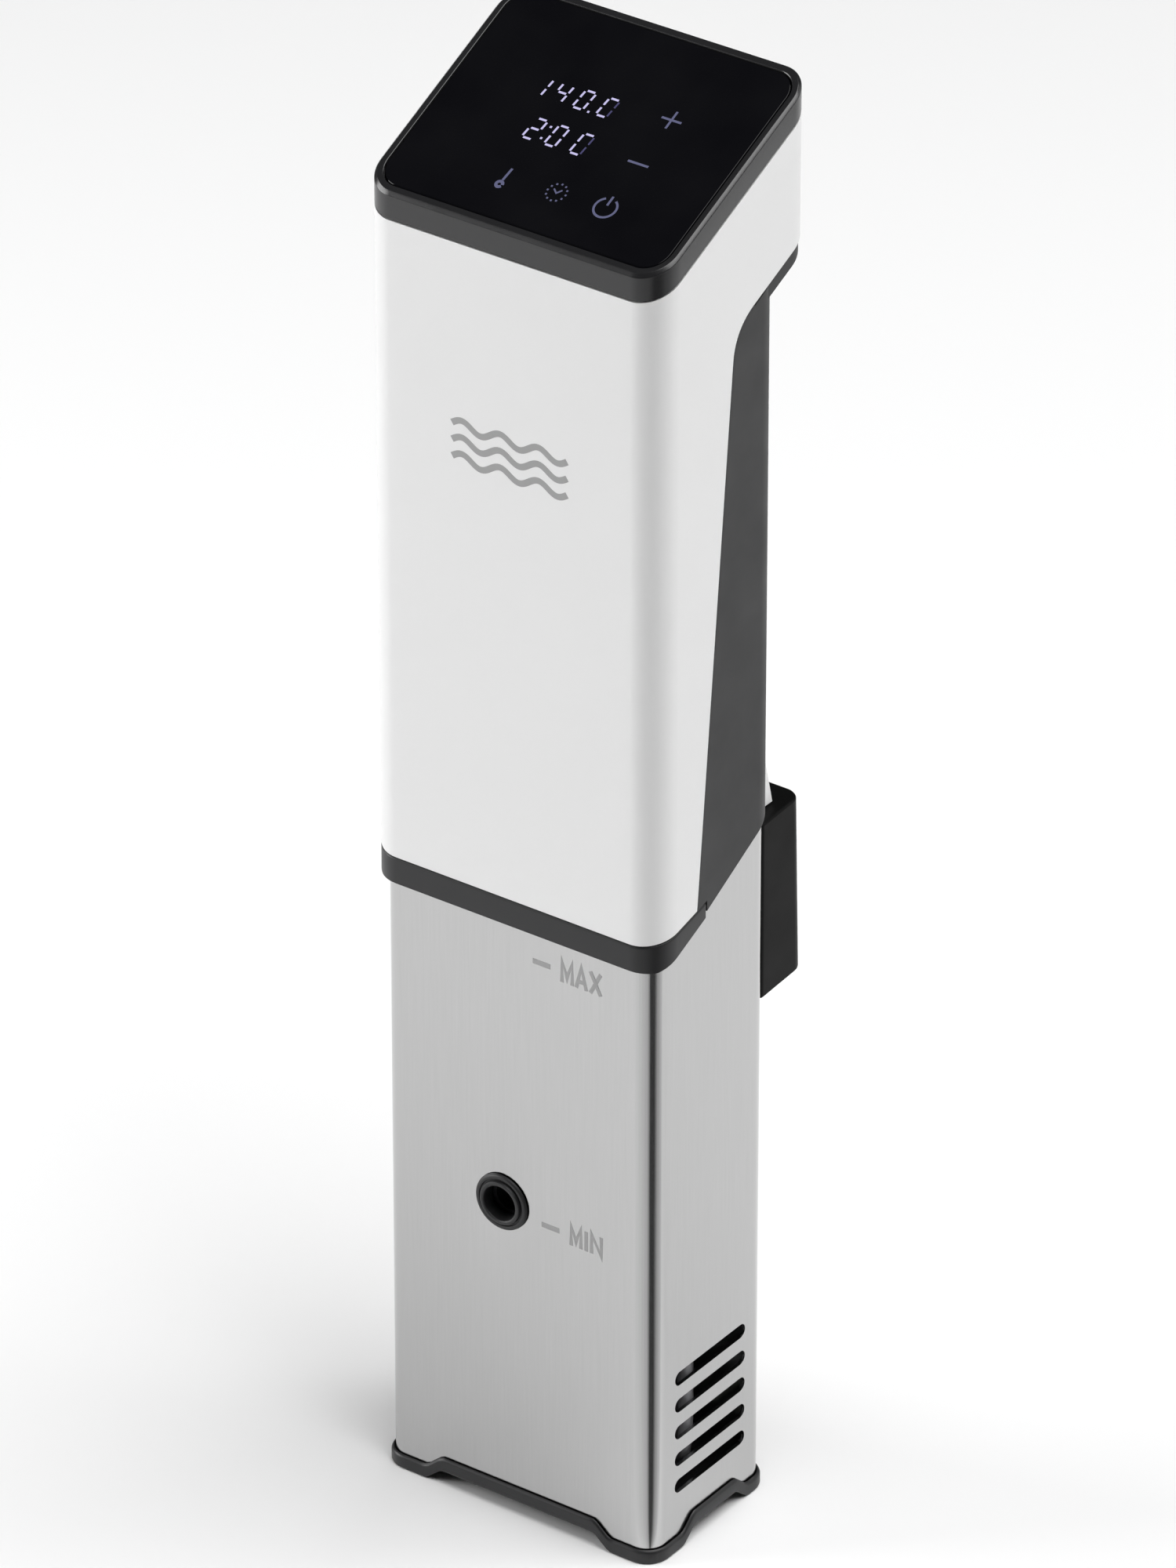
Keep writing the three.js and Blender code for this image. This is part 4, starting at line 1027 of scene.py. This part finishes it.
def outlet_grommet():
    x, z = outlet_place()
    face = SLEEVE_FRONT + 0.2
    inside = SLEEVE_FRONT + SLEEVE_WALL + 0.3
    profile = [(4.25, inside + 1.2), (4.25, face - 0.8), (4.35, face - 1.05), (4.6, face - 1.2),
               (5.0, face - 1.2), (5.25, face - 1.1), (5.35, face - 0.9), (5.4, face - 0.3),
               (5.75, face - 0.3), (5.85, face - 0.6), (6.2, face - 0.7), (6.6, face - 0.6),
               (6.85, face - 0.35), (6.95, face), (5.05, face), (5.05, inside), (6.45, inside),
               (6.45, inside + 1.2)]
    ring = lathe("outlet_ring", profile, facing(x, z), 72)
    return piece(ring, RUBBER, "sleeve", ["outlet_grommet"], sharp=40)


LETTERS = {
    "M": [[(0, 0), (0, 1), (0.5, 0.25), (1, 1), (1, 0)]],
    "I": [[(0.5, 0), (0.5, 1)]],
    "N": [[(0, 0), (0, 1), (1, 0), (1, 1)]],
    "A": [[(0, 0), (0.5, 1), (1, 0)], [(0.2, 0.32), (0.8, 0.32)]],
    "X": [[(0, 0), (1, 1)], [(0, 1), (1, 0)]],
}


def on_sleeve(x, z, height):
    return x, SLEEVE_FRONT - height, z


def level_mark(word, dash_from, dash_to, level, text_from, letter_width, letter_height, pitch):
    """A dash at the level, and its word."""
    made = [stroke("dash", [(dash_from, level), (dash_to, level)], 1.3, on_sleeve, MARK_THICKNESS)]
    x = text_from
    for letter in word:
        width = 0.5 if letter == "I" else letter_width
        for layer, line in enumerate(LETTERS[letter]):
            points = [(x + u * width, level - letter_height / 2 + v * letter_height) for u, v in line]
            made.append(stroke("letter", points, 0.95, on_sleeve, MARK_THICKNESS + 0.02 * layer))
        x += width + pitch
    return made


def level_marks():
    marks = level_mark("MIN", 6.5, 11.3, MIN_LEVEL, 14.5, 2.6, 5.0, 1.2)
    marks += level_mark("MAX", 4.3, 9.0, MAX_LEVEL, 12.1, 2.7, 5.4, 1.1)
    piece(join_objects("level_marks", marks), ETCH, "sleeve")


def wave_emblem():
    """Three plain wavy lines on the front, in grey print."""
    made = []
    for i in range(3):
        level = 265.2 + 4.0 * i
        points = [(-15 + 0.5 * k, level + 1.1 * math.sin(2 * math.pi * k / 20)) for k in range(61)]
        made.append(stroke("wave", points, 1.5, lambda x, z, h: (x, FRONT - h, z), MARK_THICKNESS))
    piece(join_objects("wave_emblem", made), PRINT)


# ---------- Clamp ----------

def jaw_rise(y):
    return JAW_SLOPE * (y - jaw_low.y)


def jaw_top(y):
    """The jaw's top face, which rises to its back."""
    return jaw_high.z + JAW_SLOPE * (y - jaw_high.y + JAW_FLARE)


def clamp_jaw():
    """A block with round back corners, leaning out towards its foot, with recesses for its pads."""
    front = jaw_low.y
    bottom = plan_loop(jaw_high.x, front, jaw_high.y, 1.5, 4.0, 0, 12)
    rows = []
    for t in (0, 0.3, 0.7, 1):
        row = []
        for x, y in bottom:
            lean = y - t * JAW_FLARE * (y - front) / (jaw_high.y - front)
            row.append((x, lean, (jaw_low.z + jaw_rise(y)) * (1 - t) + jaw_top(lean) * t))
        rows.append(row)
    jaw = sweep("jaw", rows, capped=True)
    pad_low, pad_high = node_box("jaw_pad_1")
    cutters = []
    for side in (1, -1):
        x0, x1 = sorted((side * abs(pad_low.x), side * abs(pad_high.x)))
        near, far, back = x0 - 0.3, x1 + 0.3, pad_high.y + 0.3
        outline = [(near, front - 5), (far, front - 5), (far, back), (near, back)]
        cutters.append(prism("recess", outline, upright(0, 0), pad_low.z - 0.3, pad_high.z + 0.3))
    cut_away(jaw, cutters)
    bevel(jaw, 0.7, 4, angle=40)
    return piece(jaw, JAW_BLACK, "clamp", ["clamp_jaw"])


def jaw_pads():
    """Two rubber pads with upright ribs."""
    for k in (1, 2):
        low, high = node_box(f"jaw_pad_{k}")
        outline = [(low.x, high.y), (low.x, low.y + 0.5)]
        ribs = 9
        step = (high.x - low.x) / ribs
        for i in range(ribs):
            x = low.x + i * step
            outline += [(x + step * 0.15, low.y), (x + step * 0.6, low.y), (x + step * 0.75, low.y + 0.5)]
        outline += [(high.x, low.y + 0.5), (high.x, high.y)]
        pad = prism("pad", outline, upright(0, 0), low.z, high.z)
        bevel(pad, 0.12, 2, angle=50)
        pad.name = f"ribbed_pad_{k}"
        piece(pad, RUBBER, "clamp", [f"jaw_pad_{k}"])


def lever_outline():
    """The right half of the lever seen from behind, from its foot up to its round top."""
    low, top = jaw_top(lever_high.y - LEVER_LEAN) + 0.3, lever_high.z
    shoulder = pivot_z() - 6
    foot, neck, tip, corner = LEVER_FOOT_HALF, LEVER_NECK_HALF, LEVER_TOP_HALF, LEVER_CORNER
    right = [(foot, low), ((foot + neck) / 2, (low + shoulder - 2) / 2), (neck, shoulder - 2)]
    for i in range(1, 9):
        t = i / 8
        x = neck * (1 - t) ** 2 + neck * 2 * t * (1 - t) + tip * t * t
        z = (shoulder - 2) * (1 - t) ** 2 + (shoulder + 5) * 2 * t * (1 - t) + (shoulder + 9) * t * t
        right.append((x, z))
    right += between(right[-1], (tip, top - corner), 6)
    right += arc(tip - corner, top - corner, corner, 0, 90, 10)
    return right


def pivot_z():
    return (pin_low.z + pin_high.z) / 2


def pivot_y():
    return (pin_low.y + pin_high.y) / 2


def clamp_lever():
    """The white thumb lever: a leaning plate with two knuckles round the pin and ribs for the thumb."""
    thickness, lean = LEVER_THICKNESS, LEVER_LEAN
    back = lever_high.y - lean
    half = lever_outline()
    outline = half + [(-x, z) for x, z in reversed(half)]

    def place(x, z, w):
        lean_here = lean * max(0.0, (z - pivot_z()) / (lever_high.z - pivot_z()))
        return x, back - thickness + w + lean_here, z

    near, far = [[place(x, z, w) for x, z in outline] for w in (0.0, thickness)]
    plate = slab("lever", near, far)
    bevel(plate, 0.9, 4, angle=40)
    parts = [plate]
    for side in (1, -1):
        x0, x1 = sorted((side * KNUCKLE_INNER, side * KNUCKLE_OUTER))
        outline = arc(pivot_y(), pivot_z(), KNUCKLE_RADIUS, 90, 270, 16)
        root = back - thickness + 0.6
        outline += [(root, pivot_z() - KNUCKLE_RADIUS), (root, pivot_z() + KNUCKLE_RADIUS)]
        knuckle = prism("knuckle", outline, lambda u, v, w: (w, u, v), x0, x1)
        bevel(knuckle, 0.3, 2, angle=50)
        parts.append(knuckle)
    for i in range(5):
        z = lever_high.z - 9 - 3.2 * i
        rib = tube("rib", [place(-12, z, thickness), place(12, z, thickness)], 0.7, 14)
        parts.append(rib)
    return piece(join_objects("clamp_lever_plate", parts), WHITE, "clamp", ["clamp_lever"])


def clamp_spring():
    half, radius, turns = 5.2, 2.5, 5.5
    y, z = pivot_y(), pivot_z()
    path = [(-half, y - radius, z + 5.0 - 0.7 * k) for k in range(7)]
    steps = 120
    for i in range(steps + 1):
        angle = math.pi + 2 * math.pi * turns * i / steps
        x = -half + 2 * half * i / steps
        path.append((x, y + radius * math.cos(angle), z + radius * math.sin(angle)))
    path += [(half, y + radius, z + 0.7 * k) for k in range(1, 8)]
    wire = tube("torsion_spring", path, 0.5, 12)
    return piece(wire, TURNED, replaces=["clamp_spring"], sharp=60)


# ---------- Inner parts that show when the sleeve is off ----------

def heater():
    """The heater's tube as one smooth winding, on the CAD tube's own line."""
    low, high = node_box("heater_element")
    radius = 3.0
    leg_x = high.x - radius
    coil_x = -low.x - radius
    coil_y = (high.y - low.y) / 2 - radius
    middle = (high.y + low.y) / 2
    bottom = 14.0
    pitch, turns, per_turn = 11.5, 4, 16
    top = high.z
    coil_top = bottom + pitch * turns

    def squash(value):
        return math.copysign(abs(value) ** 0.72, value)

    points = [(-coil_x, middle, z) for z in (top, (top * 2 + coil_top) / 3, (top + coil_top * 2) / 3,
                                             coil_top + pitch)]
    for i in range(1, int(per_turn * (turns + 0.5) - 2) + 1):
        angle = math.pi + 2 * math.pi * i / per_turn
        z = max(coil_top - pitch * (i - 1) / per_turn, bottom)
        points.append((coil_x * squash(math.cos(angle)), middle + coil_y * squash(math.sin(angle)), z))
    points.append((leg_x - radius, middle - radius / 2, bottom))
    for z in (bottom + 2 * radius, coil_top, (top + coil_top) / 2, top):
        points.append((leg_x, middle, z))
    wound = tube("heater_tube", smooth_path(points, 6), radius, 24)
    return piece(wound, DARK_STEEL, replaces=["heater_element"], sharp=60)


def rod_place(node_name):
    """A round CAD node's lowest and highest points, its axis and its radius."""
    low, high = node_box(node_name)
    return low.z, high.z, (low.x + high.x) / 2, (low.y + high.y) / 2, (high.x - low.x) / 2


def round_rod(node_name, name):
    """A straight rod with a domed lower end, in the CAD rod's box."""
    foot, top, x, y, r = rod_place(node_name)
    dome = [math.pi / 16 * k for k in range(1, 9)]
    profile = [(0.02, foot)] + [(r * math.sin(a), foot + r - r * math.cos(a)) for a in dome]
    profile += [(r, top - 0.3), (r - 0.3, top)]
    rod = lathe(name, profile, upright(x, y), 32, closed=False)
    return piece(rod, TURNED, replaces=[node_name], sharp=50)


def shaft_column():
    """The tube round the drive shaft, with its ends chamfered."""
    foot, top, x, y, r = rod_place("shaft_tube")
    bore = 3.6
    profile = [(bore, foot), (r - 0.3, foot), (r, foot + 0.3), (r, top - 0.3), (r - 0.3, top), (bore, top)]
    column = lathe("shaft_column", profile, upright(x, y), 48)
    return piece(column, TURNED, replaces=["shaft_tube"], sharp=50)


def pump_casing():
    """The pump's round casing with a rolled upper edge and its spout."""
    low, high = node_box("pump_volute")
    radius = (high.x - low.x) / 2
    x, y = (low.x + high.x) / 2, high.y - radius
    wall, edge = 2.5, 1.2
    roll = [(radius - edge + edge * math.cos(a), high.z - edge + edge * math.sin(a))
            for a in [math.pi / 16 * k for k in range(9)]]
    profile = [(radius - wall, low.z), (radius, low.z)] + roll + [(2.4, high.z), (2.4, high.z - wall),
                                                                 (radius - wall, high.z - wall)]
    casing = lathe("casing", profile, upright(x, y), 72)
    outlet_x, outlet_z = outlet_place()
    cut_away(casing, [rod_y("hole", outlet_x, outlet_z, 3.6, low.y - 5, y)])
    reach = y - math.sqrt(radius ** 2 - (outlet_x - x) ** 2) + 2.5
    spout = lathe("spout", [(3.6, low.y), (4.9, low.y), (5.2, low.y + 0.3), (5.2, reach), (3.6, reach)],
                  facing(outlet_x, outlet_z), 48)
    both = join_objects("pump_casing", [casing, spout])
    return piece(both, COMPONENT, replaces=["pump_volute"], sharp=40)


def rubber_gland():
    low, high = node_box("cord_gland")
    z = gland_z()
    face = GRIP_REAR + 0.3
    shoulder = GRIP_REAR - WALL - 0.3
    profile = [(3.2, low.y), (7.0, low.y), (7.0, shoulder), (5.2, shoulder), (5.2, face), (8.0, face),
               (8.0, face + 1.4), (7.4, face + 2.2), (5.4, high.y - 0.2), (4.6, high.y), (3.5, high.y),
               (3.2, high.y - 0.3)]
    ring = lathe("cord_bushing", profile, facing(0, z), 64)
    return piece(ring, RUBBER, replaces=["cord_gland"], sharp=40)


# ---------- Stage ----------

def area_light(name, location, target, size, power):
    data = bpy.data.lights.new(name, "AREA")
    data.shape = "RECTANGLE"
    data.size, data.size_y = size
    data.energy = power
    light = add_object(name, data)
    light.location = location
    light.rotation_euler = (Vector(location) - Vector(target)).to_track_quat("Z", "Y").to_euler()


def studio_world():
    """Bright round the horizon, dim overhead, and dimmer on the side that the front right corner faces."""
    world = bpy.data.worlds.new("studio")
    bpy.context.scene.world = world
    world.use_nodes = True
    tree = world.node_tree
    background = tree.nodes["Background"]
    coords = tree.nodes.new("ShaderNodeTexCoord")
    split = tree.nodes.new("ShaderNodeSeparateXYZ")
    tree.links.new(coords.outputs["Generated"], split.inputs["Vector"])
    height = ranged(tree, split.outputs["Z"], (0.05, 0.75), (0.86, 0.1))
    facing = tree.nodes.new("ShaderNodeVectorMath")
    facing.operation = "DOT_PRODUCT"
    facing.inputs[1].default_value = (0.62, -0.78, 0)
    tree.links.new(coords.outputs["Generated"], facing.inputs[0])
    shade = ranged(tree, facing.outputs["Value"], (0.35, 0.95), (1, 0.2))
    product = tree.nodes.new("ShaderNodeMath")
    product.operation = "MULTIPLY"
    tree.links.new(height, product.inputs[0])
    tree.links.new(shade, product.inputs[1])
    tree.links.new(product.outputs["Value"], background.inputs["Strength"])


def painted_reflection_wedge(name, shade, start, end):
    """A wedge on the floor that only reflections see, from the sleeve's corner out between two bearings; its
    grey paints a dark reflection into the steel sleeve's front right corner.
    """
    corner = SLEEVE_HALF + 1.2, SLEEVE_FRONT - 1.2
    rim = []
    for i in range(9):
        bearing = math.radians(start + (end - start) * i / 8)
        rim.append((corner[0] + 900 * math.sin(bearing), corner[1] - 900 * math.cos(bearing), 0.4))
    reflected_wedge = make_object(name, [(corner[0], corner[1], 0.4), *rim], [tuple(range(10))])
    reflected_wedge.data.materials.append(new_material(name, (shade, shade, shade), 1.0)[0])
    reflected_wedge.visible_camera = False
    reflected_wedge.visible_diffuse = False
    reflected_wedge.visible_shadow = False
    reflected_wedge.visible_transmission = False


def make_stage():
    studio_world()
    bpy.context.scene.view_settings.view_transform = "Standard"
    bpy.ops.mesh.primitive_plane_add(size=8, location=(0, 0, 0))
    floor = bpy.context.object
    floor.name = "floor"
    mat, _, shader = new_material("floor", (0.94, 0.94, 0.94), 0.95)
    shader.inputs["Specular IOR Level"].default_value = 0
    floor.data.materials.append(mat)
    # painted reflections: graded grey wedges that put a dark stripe into the steel sleeve's front right
    # corner
    bearings = (-32, -16, 0, 16, 32, 40, 70, 78, 92, 106)
    shades = (0.86, 0.78, 0.7, 0.62, 0.4, 0.03, 0.22, 0.45, 0.62)
    for i, shade in enumerate(shades):
        painted_reflection_wedge(f"painted_corner_reflection_{i}", shade, bearings[i], bearings[i + 1])
    middle = (0, 0, 0.17)
    area_light("left_box", (-1.5, -0.9, 0.6), middle, (1.0, 1.3), 27)
    area_light("right_box", (1.25, 1.35, 0.95), middle, (1.3, 1.3), 7)
    area_light("top_box", (0.7, 0.1, 2.2), middle, (2.0, 2.0), 60)


make_camera()
dress_cad_nodes()
front_shell()
rear_shell()
# painted shade along the seam between the white and the grey shells
painted_seam_shade()
top_bezel()
touch_glass()
panel_signs()
collar()
spigot_and_deck()
steel_sleeve()
sleeve_trim()
outlet_grommet()
level_marks()
wave_emblem()
clamp_jaw()
jaw_pads()
clamp_lever()
clamp_spring()
heater()
for number in (1, 2):
    round_rod(f"level_probe_{number}", f"level_rod_{number}")
round_rod("temp_probe", "temperature_rod")
shaft_column()
pump_casing()
rubber_gland()
make_stage()
